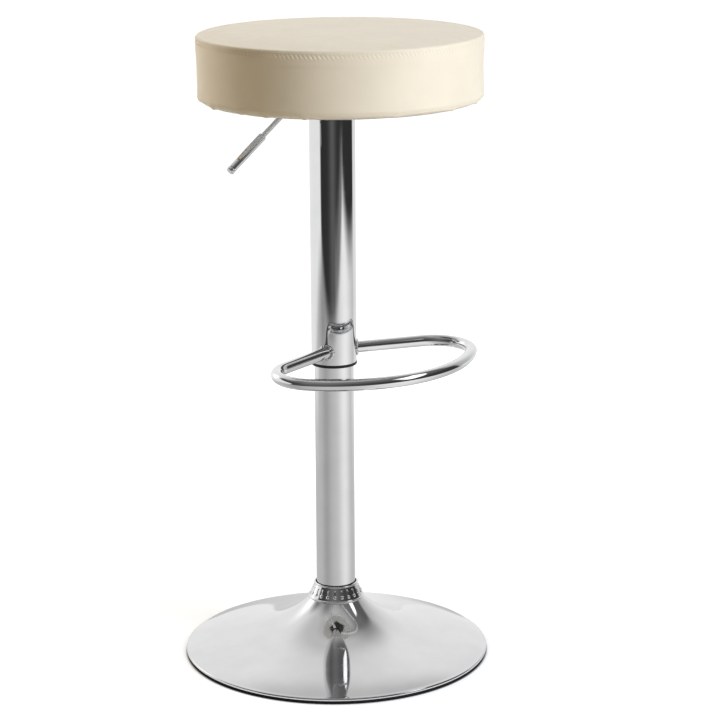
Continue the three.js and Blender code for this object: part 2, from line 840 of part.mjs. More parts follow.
/** One upright ear of the fulcrum, on the side that the sign gives. */
function makeFulcrumEar(side) {
  const near = fulcrumBossWidth / 2 + clearance;
  const far = near + fulcrumEarThickness;
  const halfWidth = fulcrumEarWidth / 2;
  const [low, high] = side > 0 ? [near, far] : [-far, -near];
  const body = block(
    [-fulcrumOffset - halfWidth, low, dishFloor],
    [-fulcrumOffset + halfWidth, high, leverHeight + fulcrumEarRise],
  );
  return cut(body, crossRod(fulcrumPinRadius + clearance, plateWidth, -fulcrumOffset, leverHeight));
}

function makeFulcrumPin() {
  const outside = fulcrumBossWidth / 2 + clearance + fulcrumEarThickness;
  const shank = crossRod(fulcrumPinRadius, 2 * outside + 2 * clearance, -fulcrumOffset, leverHeight);
  const heads = [-1, 1].map((side) => {
    const head = crossRod(fulcrumPinHead, fulcrumPinRadius / 2, -fulcrumOffset, leverHeight);
    head.translate(0, side * (outside + clearance + fulcrumPinRadius / 4), 0);
    return head;
  });
  return join(shank, ...heads);
}

/** The four bolt places round the seat's centre. */
function boltPlaces() {
  const half = boltSpacing / 2;
  return [[1, 1], [-1, 1], [-1, -1], [1, -1]].map(([x, y]) => [seatOffset + x * half, y * half]);
}

function makeSeatBolt() {
  const head = new THREE.CylinderGeometry(boltHeadRadius, boltHeadRadius, boltHeadHeight, hexagonSides);
  head.rotateX(Math.PI / 2);
  head.translate(0, 0, boltHeadTop - boltHeadHeight / 2);
  return join(head, disc(boltRadius, boltHeadTop - boltHeadHeight / 2, boltTop, screwFacets));
}

function makeSpringWasher() {
  const body = ring(boltRadius + clearance, springWasherRadius, boltHeadTop, plateUnderside, screwFacets);
  const half = springWasherSplit / 2;
  const outside = springWasherRadius + overrun;
  const split = block([0, -half, boltHeadTop - overrun], [outside, half, plateUnderside + overrun]);
  return cut(body, split);
}

function makeTNut() {
  const bore = boltRadius + clearance;
  const flangeBottom = boardTop - nutFlangeThickness;
  return turned([
    [bore, boardTop - nutBarrelLength],
    [nutBarrelRadius, boardTop - nutBarrelLength],
    [nutBarrelRadius, flangeBottom],
    [nutFlangeRadius, flangeBottom],
    [nutFlangeRadius, boardTop],
    [bore, boardTop],
  ], screwFacets);
}

function addSeatPlate() {
  const group = new THREE.Group();
  stool.add(group);
  addPiece(group, 'seat_plate', makeSeatPlate(), blackSteel);
  addPiece(group, 'plate_socket', makePlateSocket(), blackSteel);
  addPiece(group, 'fulcrum_ear_left', makeFulcrumEar(1), blackSteel);
  addPiece(group, 'fulcrum_ear_right', makeFulcrumEar(-1), blackSteel);
  addPiece(group, 'fulcrum_pin', makeFulcrumPin(), steel);
  boltPlaces().forEach(([x, y], i) => {
    const pieces = [
      ['seat_bolt', makeSeatBolt()],
      ['spring_washer', makeSpringWasher()],
      ['t_nut', makeTNut()],
    ];
    for (const [name, geometry] of pieces) {
      addPiece(group, `${name}_${i + 1}`, geometry, steel).position.set(x, y, 0);
    }
  });
}

// Lift lever

/** Where the lever's middle line ends, and the unit direction of its sloping part. */
function leverRun() {
  const direction = new THREE.Vector3(-Math.cos(leverSlope), 0, -Math.sin(leverSlope));
  const bend = new THREE.Vector3(-leverBend, 0, leverHeight);
  const end = bend.clone().addScaledVector(direction, (leverEnd - leverBend) / Math.cos(leverSlope));
  return { direction, bend, end };
}

function makeLeverRod() {
  const { direction, bend, end } = leverRun();
  const tangent = leverBendRadius * Math.tan(leverSlope / 2);
  const before = bend.clone().add(new THREE.Vector3(tangent, 0, 0));
  const after = bend.clone().addScaledVector(direction, tangent);
  const path = new THREE.CurvePath();
  path.add(new THREE.LineCurve3(new THREE.Vector3(leverTip, 0, leverHeight), before));
  path.add(new THREE.QuadraticBezierCurve3(before, bend, after));
  path.add(new THREE.LineCurve3(after, end));
  const rod = swept(path, leverRadius, leverSides, leverRings);
  const boss = crossRod(fulcrumBossRadius, fulcrumBossWidth, -fulcrumOffset, leverHeight);
  const bore = crossRod(fulcrumPinRadius + clearance, plateWidth, -fulcrumOffset, leverHeight);
  return cut(join(rod, boss), bore);
}

/** The grip: a plain sleeve over the rod's end with a rounded nose. Its own axis is +Z. */
function makeLeverGrip() {
  const bore = leverRadius + clearance;
  const body = gripLength - gripNose;
  const nose = arcPoints([gripRadius - gripNose, body], gripNose, 0, Math.PI / 2, arcSteps);
  return turned([
    [bore, 0],
    [gripRadius - clearance * 2, 0],
    [gripRadius, gripNose],
    ...nose,
    [0, gripLength],
    [0, body],
    [bore, body],
  ], smallFacets);
}

function addLever() {
  const group = new THREE.Group();
  stool.add(group);
  addPiece(group, 'lever_rod', makeLeverRod(), chrome);
  const { direction, end } = leverRun();
  const grip = addPiece(group, 'lever_grip', makeLeverGrip(), chrome);
  const foot = end.clone().addScaledVector(direction, gripNose + clearance - gripLength);
  grip.position.copy(foot);
  grip.quaternion.setFromUnitVectors(new THREE.Vector3(0, 0, 1), direction);
}

// Seat

/** The cover's outer line: crown, rounded edge, proud seam, straight side and tucked hem. */
function coverLine() {
  const crownRadius = seatRadius - seatTopRounding;
  const crownShares = [0, 0.5, 0.8];
  const crown = crownShares.map((share) => [
    crownRadius * share,
    seatEdgeHeight + seatCrown * (1 - share * share),
  ]);
  const edgeMiddle = [crownRadius + seatSeamProud, seatEdgeHeight - seatTopRounding];
  const edge = arcPoints(edgeMiddle, seatTopRounding, Math.PI / 2, 0, roundSteps);
  const sideTop = seatEdgeHeight - seatSeamDrop;
  const sideFoot = seatUnderside + seatBottomRounding;
  const tuckMiddle = [seatRadius - seatTuck - seatBottomRounding, sideFoot];
  const tuck = arcPoints(tuckMiddle, seatBottomRounding, 0, -Math.PI / 2, arcSteps);
  const beadFoot = [seatRadius + seatSeamProud, (edgeMiddle[1] + sideTop) / 2];
  return [...crown, ...edge, beadFoot, [seatRadius, sideTop], ...tuck, [hemInner, seatUnderside]];
}

/** The line at a depth under the cover's outer line. */
function lineUnderCover(depth) {
  const line = offsetProfile(coverLine(), depth);
  line[0][0] = 0;
  line[line.length - 1][0] = hemInner;
  return line;
}

function makeSeatCover() {
  return turned([...coverLine(), ...lineUnderCover(coverWall).reverse()], seatFacets);
}

function makeSeatFoam() {
  const bottom = boardTop + clearance;
  const depth = coverWall + clearance;
  const line = lineUnderCover(depth).filter(([, height]) => height > bottom);
  return turned([...line, [seatRadius - seatTuck - depth, bottom], [0, bottom]], seatFacets);
}

function makeSeatBoard() {
  const board = disc(boardRadius, boardBottom, boardTop, seatFacets);
  const tools = boltPlaces().flatMap(([x, y]) => {
    const barrel = disc(nutBarrelRadius + clearance, boardBottom - overrun, boardTop + overrun, screwFacets);
    const recessFloor = boardTop - nutFlangeThickness - clearance;
    const recess = disc(nutFlangeRadius + clearance, recessFloor, boardTop + overrun, screwFacets);
    barrel.translate(x - seatOffset, y, 0);
    recess.translate(x - seatOffset, y, 0);
    return [barrel, recess];
  });
  return cut(board, ...tools);
}

function makeDustCover() {
  const sheet = disc(dustCoverRadius, plateTop, seatUnderside, seatFacets);
  const holes = boltPlaces().map(([x, y]) => {
    const tool = disc(boltRadius + clearance, plateTop - overrun, seatUnderside + overrun, screwFacets);
    tool.translate(x - seatOffset, y, 0);
    return tool;
  });
  return cut(sheet, ...holes);
}

function addSeat() {
  const group = new THREE.Group();
  group.position.set(seatOffset, 0, 0);
  stool.add(group);
  addPiece(group, 'seat_cover', makeSeatCover(), leather);
  addPiece(group, 'seat_foam', makeSeatFoam(), foam);
  addPiece(group, 'seat_board', makeSeatBoard(), wood);
  addPiece(group, 'dust_cover', makeDustCover(), cloth);
}

addBase();
addRod();
addBearing();
addLift();
addSeatPlate();
addLever();
addSeat();

export default stool;
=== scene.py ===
"""Looks of a diner counter stool: polished chrome and a stitched cream cushion."""
import json
import random
from math import asin, atan2, cos, degrees, exp, hypot, pi, radians, sin, sqrt, tan

import bmesh
import bpy
import numpy as np
from mathutils import Matrix, Vector, noise


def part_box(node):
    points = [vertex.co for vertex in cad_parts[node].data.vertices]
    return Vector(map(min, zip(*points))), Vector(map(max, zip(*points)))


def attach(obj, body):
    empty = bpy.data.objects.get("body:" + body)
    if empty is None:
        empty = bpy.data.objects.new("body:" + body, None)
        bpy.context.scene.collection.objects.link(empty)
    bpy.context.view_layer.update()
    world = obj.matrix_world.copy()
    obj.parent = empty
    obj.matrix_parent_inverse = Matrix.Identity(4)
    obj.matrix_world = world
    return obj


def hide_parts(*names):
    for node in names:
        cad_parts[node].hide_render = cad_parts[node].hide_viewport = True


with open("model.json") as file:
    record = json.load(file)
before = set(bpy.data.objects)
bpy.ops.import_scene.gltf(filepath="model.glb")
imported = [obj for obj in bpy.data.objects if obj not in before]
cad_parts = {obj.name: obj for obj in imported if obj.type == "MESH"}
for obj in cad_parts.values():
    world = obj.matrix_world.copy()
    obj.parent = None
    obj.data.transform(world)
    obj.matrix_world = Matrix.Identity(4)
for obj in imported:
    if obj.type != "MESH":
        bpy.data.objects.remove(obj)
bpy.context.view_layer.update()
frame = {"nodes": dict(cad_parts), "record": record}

MM = 0.001
TAU = 2 * pi
scene = bpy.context.scene
nodes = frame["nodes"]


# Sizes that the looks share with the solids, in metres

BASE_RADIUS = 192.5 * MM
BASE_WALL = 1.8 * MM
NECK_RADIUS = 34 * MM
NECK_TOP = 71 * MM
RIM_TOP = 7 * MM
RING_HEIGHT = 2.8 * MM
HEM_WIDTH = 4 * MM
COLUMN_RADIUS = 24.7 * MM
COLUMN_WALL = 1.5 * MM
SLEEVE_RADIUS = 28.4 * MM
SLEEVE_WALL = 1.3 * MM
FOOTREST_RADIUS = 7.4 * MM
FOOTREST_HEIGHT = 397.7 * MM
SEAT_X = 13.3 * MM
SEAT_RADIUS = 175 * MM
SEAT_BOTTOM = 709.2 * MM
SEAT_EDGE = 789 * MM
SEAT_CROWN = 4 * MM
LEVER_HEIGHT = 700.5 * MM
LEVER_RADIUS = 3.25 * MM
LEVER_SLOPE = radians(36.7)

# The camera looks along a line turned this far from the stool's own +Y
TURN = radians(38)


# Curves

def step(value, low, high):
    """Smoothly from 0 at low to 1 at high."""
    share = min(max((value - low) / (high - low), 0), 1)
    return share * share * (3 - 2 * share)


def lobe(value, centre, width):
    """A bell curve: 1 at the centre, near 0 two widths away."""
    return exp(-((value - centre) / width) ** 2)


# Mesh helpers

def add_mesh(name, points, faces, sharp_angle=None):
    """One mesh object: faces turned outwards and shaded smooth, but for edges past an angle."""
    mesh = bpy.data.meshes.new(name)
    mesh.from_pydata([tuple(map(float, p)) for p in points], [], faces)
    mesh.update()
    piece = bpy.data.objects.new(name, mesh)
    scene.collection.objects.link(piece)
    work = bmesh.new()
    work.from_mesh(mesh)
    bmesh.ops.remove_doubles(work, verts=work.verts, dist=1e-7)
    bmesh.ops.recalc_face_normals(work, faces=work.faces)
    work.to_mesh(mesh)
    work.free()
    mesh.polygons.foreach_set("use_smooth", [True] * len(mesh.polygons))
    if sharp_angle is not None:
        mesh.set_sharp_from_angle(angle=radians(sharp_angle))
    mesh.update()
    return piece


def joined(name, pieces):
    """Several mesh objects made into one."""
    points, faces = [], []
    for piece in pieces:
        start = len(points)
        points += [piece.matrix_world @ v.co for v in piece.data.vertices]
        faces += [[start + i for i in p.vertices] for p in piece.data.polygons]
        bpy.data.objects.remove(piece)
    return add_mesh(name, points, faces, 40)


def turn_steps(count):
    """Angles spread evenly over a full turn."""
    return np.arange(count) * TAU / count


def turn_between(first, second):
    """The angle between two bearings, at most half a turn either way."""
    return (first - second + pi) % TAU - pi


def unit(vectors):
    """Vectors made one long, each along the last axis."""
    return vectors / np.linalg.norm(vectors, axis=-1, keepdims=True)


def polar(radius, angle, height, centre_x=SEAT_X):
    """Places given by radius, angle and height about an upright axis, by default the seat's."""
    places = centre_x + radius * np.cos(angle), radius * np.sin(angle), height
    return np.stack(np.broadcast_arrays(*places), axis=-1)


def ring_points(radius, height, count, centre_x=0):
    """Points on a level ring, or its one point where it has no radius."""
    angles = turn_steps(count)[:count if radius > 1e-7 else 1]
    return polar(radius, angles, height, centre_x)


def section_points(middle, across, up, radii):
    """Points round a place, square to two directions, with a radius for each."""
    angles = turn_steps(len(radii))
    return middle + np.outer(radii * np.cos(angles), across) + np.outer(radii * np.sin(angles), up)


def add_row(points, rows, ring):
    """Adds points to a mesh's list, and their numbers as one more row."""
    rows.append(list(range(len(points), len(points) + len(ring))))
    points += list(ring)


def skin(rows, closed=False):
    """Faces between each row and the next."""
    pairs = zip(rows, rows[1:] + rows[:1] if closed else rows[1:])
    return [face for low, high in pairs for face in bridge(low, high)]


def bridge(low, high):
    """Faces between two rings, whose counts may differ, or between a ring and a point."""
    coarse, fine = sorted((low, high), key=len)
    if len(fine) == 1:
        return []
    ends = range(1 - len(fine), 1)
    if len(coarse) == 1:
        return [(coarse[0], fine[i - 1], fine[i]) for i in ends]
    if len(coarse) == len(fine):
        return [(low[i - 1], low[i], high[i], high[i - 1]) for i in ends]
    each = len(fine) // len(coarse)
    half = each // 2
    faces = []
    for i, corner in enumerate(coarse):
        after = coarse[(i + 1) % len(coarse)]
        run = [fine[(i * each + k) % len(fine)] for k in range(each + 1)]
        faces += [(corner if k < half else after, run[k], run[k + 1]) for k in range(each)]
        faces.append((corner, run[half], after))
    return faces


def lathe(name, profile, segments, sharp_angle=35):
    """Turns a closed line of (radius, height) points about the vertical axis."""
    points, rows = [], []
    for radius, height in profile:
        add_row(points, rows, ring_points(radius, height, segments))
    return add_mesh(name, points, skin(rows, closed=True), sharp_angle)


def arc(centre, radius, start, end, steps):
    """Points on an arc in the (radius, height) plane; angles in degrees."""
    angles = np.radians(np.linspace(start, end, steps + 1))
    return [(centre[0] + radius * cos(a), centre[1] + radius * sin(a)) for a in angles]


def path_frames(path, closed=False):
    """Two directions square to a path at each of its points, with no twist between them."""
    chords = np.roll(path, -1, 0) - np.roll(path, 1, 0) if closed else np.gradient(path, axis=0)
    along = unit(chords)
    start = np.cross(along[0], (0, 0, 1))
    if np.linalg.norm(start) < 0.1:
        start = np.cross(along[0], (1, 0, 0))
    sides = [unit(start)]
    for direction in along[1:]:
        sides.append(unit(sides[-1] - direction * (sides[-1] @ direction)))
    return sides, np.cross(along, sides)


def tube(name, path, radius, sides, closed=False, lumps=None):
    """A round bar along a path. lumps gives a share of the radius at (step, side)."""
    path = np.asarray(path, float)
    across, up = path_frames(path, closed)
    points, rows = [], []
    if not closed:
        add_row(points, rows, path[:1])
    for i, middle in enumerate(path):
        radii = radius * np.array([lumps(i, k) if lumps else 1 for k in range(sides)])
        add_row(points, rows, section_points(middle, across[i], up[i], radii))
    if not closed:
        add_row(points, rows, path[-1:])
    return add_mesh(name, points, skin(rows, closed), 50)


def place(piece, body, slot, *replaced, material=None):
    """Gives a piece its material, by default its slot's, and its body, and hides the solids that it
    stands for.
    """
    piece.data.materials.clear()
    piece.data.materials.append(material or slot_materials[slot])
    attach(piece, body)
    if replaced:
        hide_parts(*replaced)


# Material helpers

def set_node(tree, node, **values):
    """Sets a node's settings and inputs by name. A socket given as a value is linked."""
    for key, value in values.items():
        if hasattr(node, key):
            setattr(node, key, value)
        elif isinstance(value, bpy.types.NodeSocket):
            tree.links.new(value, node.inputs[key.replace("_", " ")])
        else:
            node.inputs[key.replace("_", " ")].default_value = value


def add_node(tree, kind, **values):
    made = tree.nodes.new(kind)
    set_node(tree, made, **values)
    return made


def add_range(tree, value, start, end, low, high, kind="SMOOTHSTEP"):
    """Maps a value onto a range."""
    made = add_node(tree, "ShaderNodeMapRange", interpolation_type=kind, Value=value)
    set_node(tree, made, From_Min=start, From_Max=end, To_Min=low, To_Max=high)
    return made.outputs["Result"]


def add_ramp(tree, value, first, second, start=0.0, end=1.0):
    """Maps a value onto the colours between two."""
    ramp = add_node(tree, "ShaderNodeValToRGB", Fac=value)
    for stop, position, colour in zip(ramp.color_ramp.elements, (start, end), (first, second)):
        stop.position = position
        stop.color = (*colour, 1)
    return ramp.outputs["Color"]


def new_material(name):
    material = bpy.data.materials.new(name)
    material.use_nodes = True
    return material, material.node_tree


class Shader:
    """A small builder for one procedural material."""

    def __init__(self, name):
        self.material, self.tree = new_material(name)
        self.surface = self.tree.nodes["Principled BSDF"]
        self.where = self.node("ShaderNodeTexCoord").outputs["Object"]

    def node(self, kind, **values):
        return add_node(self.tree, kind, **values)

    def set(self, **values):
        set_node(self.tree, self.surface, **values)

    def stretched(self, scale):
        return self.node("ShaderNodeMapping", Scale=scale, Vector=self.where).outputs["Vector"]

    def noise(self, size, detail=3, vector=None):
        """Noise with features of about this size, in metres."""
        where = vector or self.where
        made = self.node("ShaderNodeTexNoise", Scale=1 / size, Detail=float(detail), Vector=where)
        return made.outputs["Fac"]

    def cells(self, size, feature="DISTANCE_TO_EDGE"):
        made = self.node("ShaderNodeTexVoronoi", feature=feature, Scale=1 / size, Vector=self.where)
        return made.outputs["Distance"]

    def texture(self, size, kind):
        """Cells of a kind, or noise where the kind is a number of octaves."""
        return self.cells(size, kind) if isinstance(kind, str) else self.noise(size, kind)

    def spread(self, value, low, high, start=0.3, end=0.7):
        return add_range(self.tree, value, start, end, low, high)

    def tint(self, value, first, second, start=0.3, end=0.7):
        self.set(Base_Color=add_ramp(self.tree, value, first, second, start, end))

    def rough(self, value, low, high):
        self.set(Roughness=self.spread(value, low, high))

    def bump(self, *layers):
        """Stacks bumps, each (height, depth in metres)."""
        below = {}
        for height, depth in layers:
            made = self.node("ShaderNodeBump", Strength=1.0, Distance=depth, Height=height, **below)
            below = {"Normal": made.outputs["Normal"]}
        self.set(**below)


def shaded(colour, share):
    return tuple(channel * share for channel in colour)


def chrome_material(name, colour, low=0.02, high=0.06):
    """Polished chrome plate: faint smudges, hairline polish marks and a barely uneven surface."""
    look = Shader(name)
    look.set(Metallic=1.0)
    smudges = look.noise(0.035, 4)
    look.tint(smudges, shaded(colour, 0.97), shaded(colour, 1.03))
    look.rough(look.noise(0.018, 5), low, high)
    look.bump((look.noise(0.03, 1), 0.000012), (look.noise(0.0009, 2), 0.0000012))
    return look.material


def leather_material():
    """Cream leatherette: fine pebbled grain, soft gloss and slight mottling."""
    look = Shader("cream_leatherette")
    colour = (0.745, 0.655, 0.51)
    look.tint(look.noise(0.05, 3), shaded(colour, 0.975), shaded(colour, 1.02))
    look.set(Specular_IOR_Level=0.45, Sheen_Weight=0.06, Sheen_Roughness=0.4)
    look.rough(look.noise(0.012, 3), 0.36, 0.46)
    pebbles = look.spread(look.cells(0.0011), 0.0, 1.0, 0.0, 0.28)
    creases = look.noise(0.004, 4)
    look.bump((creases, 0.00005), (pebbles, 0.000045), (look.noise(0.0004, 2), 0.00001))
    return look.material


def thread_material():
    look = Shader("cream_thread")
    look.tint(look.noise(0.003, 3), (0.74, 0.65, 0.49), (0.86, 0.78, 0.62))
    look.set(Sheen_Weight=0.2)
    look.rough(look.noise(0.002, 2), 0.5, 0.65)
    twist = look.node("ShaderNodeTexWave", Scale=900.0, Distortion=1.5, Vector=look.where)
    twist.bands_direction = "DIAGONAL"
    look.bump((twist.outputs["Fac"], 0.00006))
    return look.material


def plain_material(
    name, mottle, first, second, gloss, low, high, fine, depth, ends=(0.3, 0.7), **settings
):
    """Mottled colour, uneven gloss and one fine bump, from textures given as (size, kind)."""
    look = Shader(name)
    look.set(**settings)
    look.tint(look.texture(*mottle), first, second, *ends)
    look.rough(look.texture(*gloss), low, high)
    look.bump((look.texture(*fine), depth))
    return look.material


def spunbond_material():
    """Pale grey spunbond cloth: random fibres and a grid of little bond points."""
    look = Shader("spunbond_cloth")
    fibres = look.noise(0.0012, 6, look.stretched((1, 0.35, 1)))
    look.tint(fibres, (0.57, 0.59, 0.61), (0.67, 0.69, 0.71))
    look.set(Sheen_Weight=0.15)
    look.rough(look.noise(0.003, 2), 0.8, 0.95)
    points = look.spread(look.cells(0.0018, "F1"), 0.0, 1.0, 0.1, 0.45)
    look.bump((fibres, 0.00003), (points, 0.00004))
    return look.material


def plywood_material():
    look = Shader("raw_plywood")
    grain = look.noise(0.004, 5, look.stretched((0.08, 1, 1)))
    look.tint(grain, (0.46, 0.31, 0.18), (0.6, 0.43, 0.27))
    look.rough(look.noise(0.01, 3), 0.6, 0.75)
    look.bump((grain, 0.00008))
    return look.material


chrome = chrome_material("chrome", (0.74, 0.742, 0.748))
base_chrome = chrome_material("base_chrome", (0.7, 0.702, 0.708), 0.03, 0.075)
leather = leather_material()
thread = thread_material()
rubber = plain_material(
    "black_rubber", (0.02, 4), (0.012, 0.012, 0.012), (0.024, 0.024, 0.023),
    (0.006, 4), 0.6, 0.8, (0.0012, 3), 0.00004, Specular_IOR_Level=0.06)
plastic = plain_material(
    "black_acetal", (0.01, 3), (0.011, 0.011, 0.012), (0.02, 0.02, 0.021),
    (0.004, 3), 0.35, 0.5, (0.0006, "DISTANCE_TO_EDGE"), 0.00001, Specular_IOR_Level=0.2)
enamel = plain_material(
    "black_enamel", (0.015, 5), (0.022, 0.022, 0.024), (0.042, 0.042, 0.044),
    (0.01, 4), 0.38, 0.55, (0.0016, 2), 0.00003, Coat_Weight=0.25, Coat_Roughness=0.2)
zinc = plain_material(
    "zinc_steel", (0.0025, "F1"), (0.5, 0.51, 0.52), (0.64, 0.65, 0.66),
    (0.003, 4), 0.26, 0.42, (0.0005, 3), 0.000008, ends=(0.1, 0.6), Metallic=1.0)
spunbond = spunbond_material()
plywood = plywood_material()
open_foam = plain_material(
    "open_foam", (0.0014, "F1"), (0.7, 0.62, 0.44), (0.86, 0.79, 0.61),
    (0.004, 2), 0.85, 0.98, (0.0014, "F1"), 0.0002, ends=(0.1, 0.6))
slot_materials = {
    "chrome": chrome, "black_steel": enamel, "steel": zinc, "rubber": rubber, "foam": open_foam,
    "black_plastic": plastic, "leather": leather, "plywood": plywood, "dust_cloth": spunbond,
}


# Solids that stay: their slot's material, softened edges, smooth shading

def dress_solids():
    for part in frame["record"]["subparts"]:
        node = nodes[part["node"]]
        node.data.materials.clear()
        node.data.materials.append(slot_materials[part["material_slot"]])
        node.data.polygons.foreach_set("use_smooth", [True] * len(node.data.polygons))
        node.data.set_sharp_from_angle(angle=radians(32))
        bevel = node.modifiers.new("soft_edges", "BEVEL")
        bevel.width = 0.25 * MM
        bevel.segments = 2
        bevel.limit_method = "ANGLE"
        bevel.angle_limit = radians(50)


# Base, column and sleeve

# Slope of the trumpet in degrees, at distances from the axis in millimetres
FLARE_SLOPES = [
    (34, 45), (36, 44.5), (39, 43.3), (43, 41.3), (48, 38.6), (54, 35.2), (61, 31.7), (69, 28.4),
    (76, 25.4), (82, 22.9), (88, 20.6), (94, 18.5), (101, 16.6), (110, 14.9), (122, 13.8),
    (136, 13.4), (150, 13.5), (160, 14.2), (168, 15.4), (176, 17.2), (184, 19), (190.4, 19.8),
]


def spline(table, places):
    """A natural cubic curve through a table of (place, value)."""
    x, y = (np.array(c, float) for c in zip(*table))
    n = len(x)
    gaps = np.diff(x)
    system, right = np.eye(n), np.zeros(n)
    for i in range(1, n - 1):
        system[i, i - 1:i + 2] = gaps[i - 1], 2 * (gaps[i - 1] + gaps[i]), gaps[i]
        right[i] = 6 * ((y[i + 1] - y[i]) / gaps[i] - (y[i] - y[i - 1]) / gaps[i - 1])
    bend = np.linalg.solve(system, right)
    i = np.clip(np.searchsorted(x, places, "right") - 1, 0, n - 2)
    h, a, b = gaps[i], x[i + 1] - places, places - x[i]
    return (
        (bend[i] * a ** 3 + bend[i + 1] * b ** 3) / (6 * h)
        + (y[i] / h - bend[i] * h / 6) * a
        + (y[i + 1] / h - bend[i + 1] * h / 6) * b
    )


def flare_line(steps):
    """The trumpet's outer line from the neck to the rim, as (radius, height)."""
    end_radius = BASE_RADIUS - (RIM_TOP - RING_HEIGHT) / 2
    shares = np.linspace(0, 1, 1601)
    radius = NECK_RADIUS + (end_radius - NECK_RADIUS) * shares
    slopes = np.tan(np.radians(spline(FLARE_SLOPES, radius / MM)))
    down = np.concatenate([[0], np.cumsum((slopes[1:] + slopes[:-1]) / 2)])
    height = NECK_TOP - (NECK_TOP - RIM_TOP) * down / down[-1]
    picked = np.linspace(0, 1, steps + 1) ** 1.5
    return list(zip(np.interp(picked, shares, radius), np.interp(picked, shares, height)))


def inward(line, distance):
    """The same line moved to its inner side."""
    along = unit(np.gradient(line, axis=0))
    return [(p[0] + a[1] * distance, p[1] - a[0] * distance) for p, a in zip(line, along)]


def make_base():
    outer = flare_line(96)
    half = (RIM_TOP - RING_HEIGHT) / 2
    rim = arc((BASE_RADIUS - half, RIM_TOP - half), half, 88, -90, 12)
    hem = BASE_RADIUS - HEM_WIDTH
    inner = [p for p in inward(outer, BASE_WALL) if p[0] < hem - 2 * MM][::-1]
    inner[-1] = (NECK_RADIUS - BASE_WALL, NECK_TOP)
    roll = [(hem, RING_HEIGHT), (hem - 0.4 * MM, RING_HEIGHT + 1 * MM)]
    shell = lathe("base_trumpet", outer[:-1] + rim + roll + inner, 288, sharp_angle=60)
    place(shell, "base", "chrome", "base_shell", material=base_chrome)


def make_floor_ring():
    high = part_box("floor_ring")[1]
    outer, inner = high.x, 182 * MM
    ledge = BASE_RADIUS - HEM_WIDTH - 0.3 * MM
    profile = [(inner, 0.3 * MM), (inner + 0.3 * MM, 0)]
    width = outer - inner
    for i in range(4):
        start = inner + width * (0.12 + 0.22 * i)
        groove = 0.06 * width
        profile += [(start, 0), (start + groove, 0.5 * MM), (start + 2 * groove, 0)]
    profile += arc((outer - 0.7 * MM, 0.7 * MM), 0.7 * MM, -90, 0, 5)
    profile += [(outer, RING_HEIGHT - 0.15 * MM), (outer - 0.15 * MM, RING_HEIGHT)]
    profile += [(ledge, RING_HEIGHT), (ledge, high.z), (inner, high.z)]
    place(lathe("rubber_floor_ring", profile, 224), "base", "rubber", "floor_ring")


COLLAR_BOSSES = 22

# The studs' parts: place and half length as shares of the wall, then radius and height
STUDS = (
    (0.3, 0, 2.1 * MM, 0.95 * MM), (0.74, 0, 1.25 * MM, 0.6 * MM), (0.52, 0.2, 0.7 * MM, 0.4 * MM),
)


def make_collar():
    """A conical collar with a rolled bead at each edge and embossed keyhole-shaped studs."""
    bead, wall, length = 1.2 * MM, 1.5 * MM, 17 * MM
    top_radius, low_radius = 28 * MM, 35.5 * MM
    top, bottom = NECK_TOP + 20 * MM, NECK_TOP
    top_centre = (top_radius - bead, top - bead)
    low_centre = (low_radius - bead, bottom + bead)
    count, rows = 528, 34
    wall_low = np.array((low_centre[0] - 0.1 * MM, low_centre[1] + bead))
    wall_high = np.array((top_centre[0] - 0.1 * MM, top_centre[1] - bead))
    face = unit(np.array((wall_high[1] - wall_low[1], wall_low[0] - wall_high[0])))
    profile = [(low_centre[0] - wall, bottom)] + arc(low_centre, bead, -90, 70, 8)
    profile += list(np.linspace(wall_low, wall_high, rows + 1))
    profile += arc(top_centre, bead, -70, 90, 8)
    profile += [(top_centre[0] - wall / 2, top), (top_centre[0] - wall / 2, top - 2 * bead)]
    piece = lathe("beaded_collar", profile, count, sharp_angle=75)
    for vertex in piece.data.vertices:
        x, y, z = vertex.co
        if not wall_low[1] + 0.4 * MM < z < wall_high[1] - 0.4 * MM:
            continue
        radius = hypot(x, y)
        share = (z - wall_low[1]) / (wall_high[1] - wall_low[1])
        if abs(radius - (wall_low[0] + (wall_high[0] - wall_low[0]) * share)) > 0.2 * MM:
            continue
        angle = atan2(y, x)
        turn = angle / TAU * COLLAR_BOSSES
        across = (turn - round(turn)) * TAU / COLLAR_BOSSES * radius
        lift = max(
            stud(across, max(abs(share - middle) - half, 0) * length, size, height)
            for middle, half, size, height in STUDS
        )
        grown = 1 + lift * face[0] / radius
        vertex.co = (x * grown, y * grown, z + lift * face[1])
    piece.data.update()
    place(piece, "base", "chrome", "collar_ring")


def stud(across, along, size, height):
    """The height of a round stud at a distance from its middle."""
    distance = hypot(across, along) / size
    return height * (1 - distance * distance) ** 0.6 if distance < 1 else 0


def pipe(name, radius, wall, bottom, top):
    """A plain tube with rounded lips. Rings near the lips keep the long wall's shading level."""
    edge, near = 0.35 * MM, 0.6 * MM
    low, high = bottom + edge, top - edge
    profile = [(radius - wall, low), (radius - wall + edge, bottom)]
    profile += arc((radius - edge, low), edge, -90, 0, 4)
    profile += [(radius, z) for z in (low + near, low + 2 * near, high - 2 * near, high - near)]
    profile += arc((radius - edge, high), edge, 0, 90, 4)
    profile += [(radius - wall + edge, top), (radius - wall, high)]
    return lathe(name, profile, 160)


def make_column():
    low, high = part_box("column_tube")
    hidden = 46 * MM
    piece = pipe("outer_column", COLUMN_RADIUS, COLUMN_WALL, low.z + hidden, high.z)
    place(piece, "base", "chrome", "column_tube")


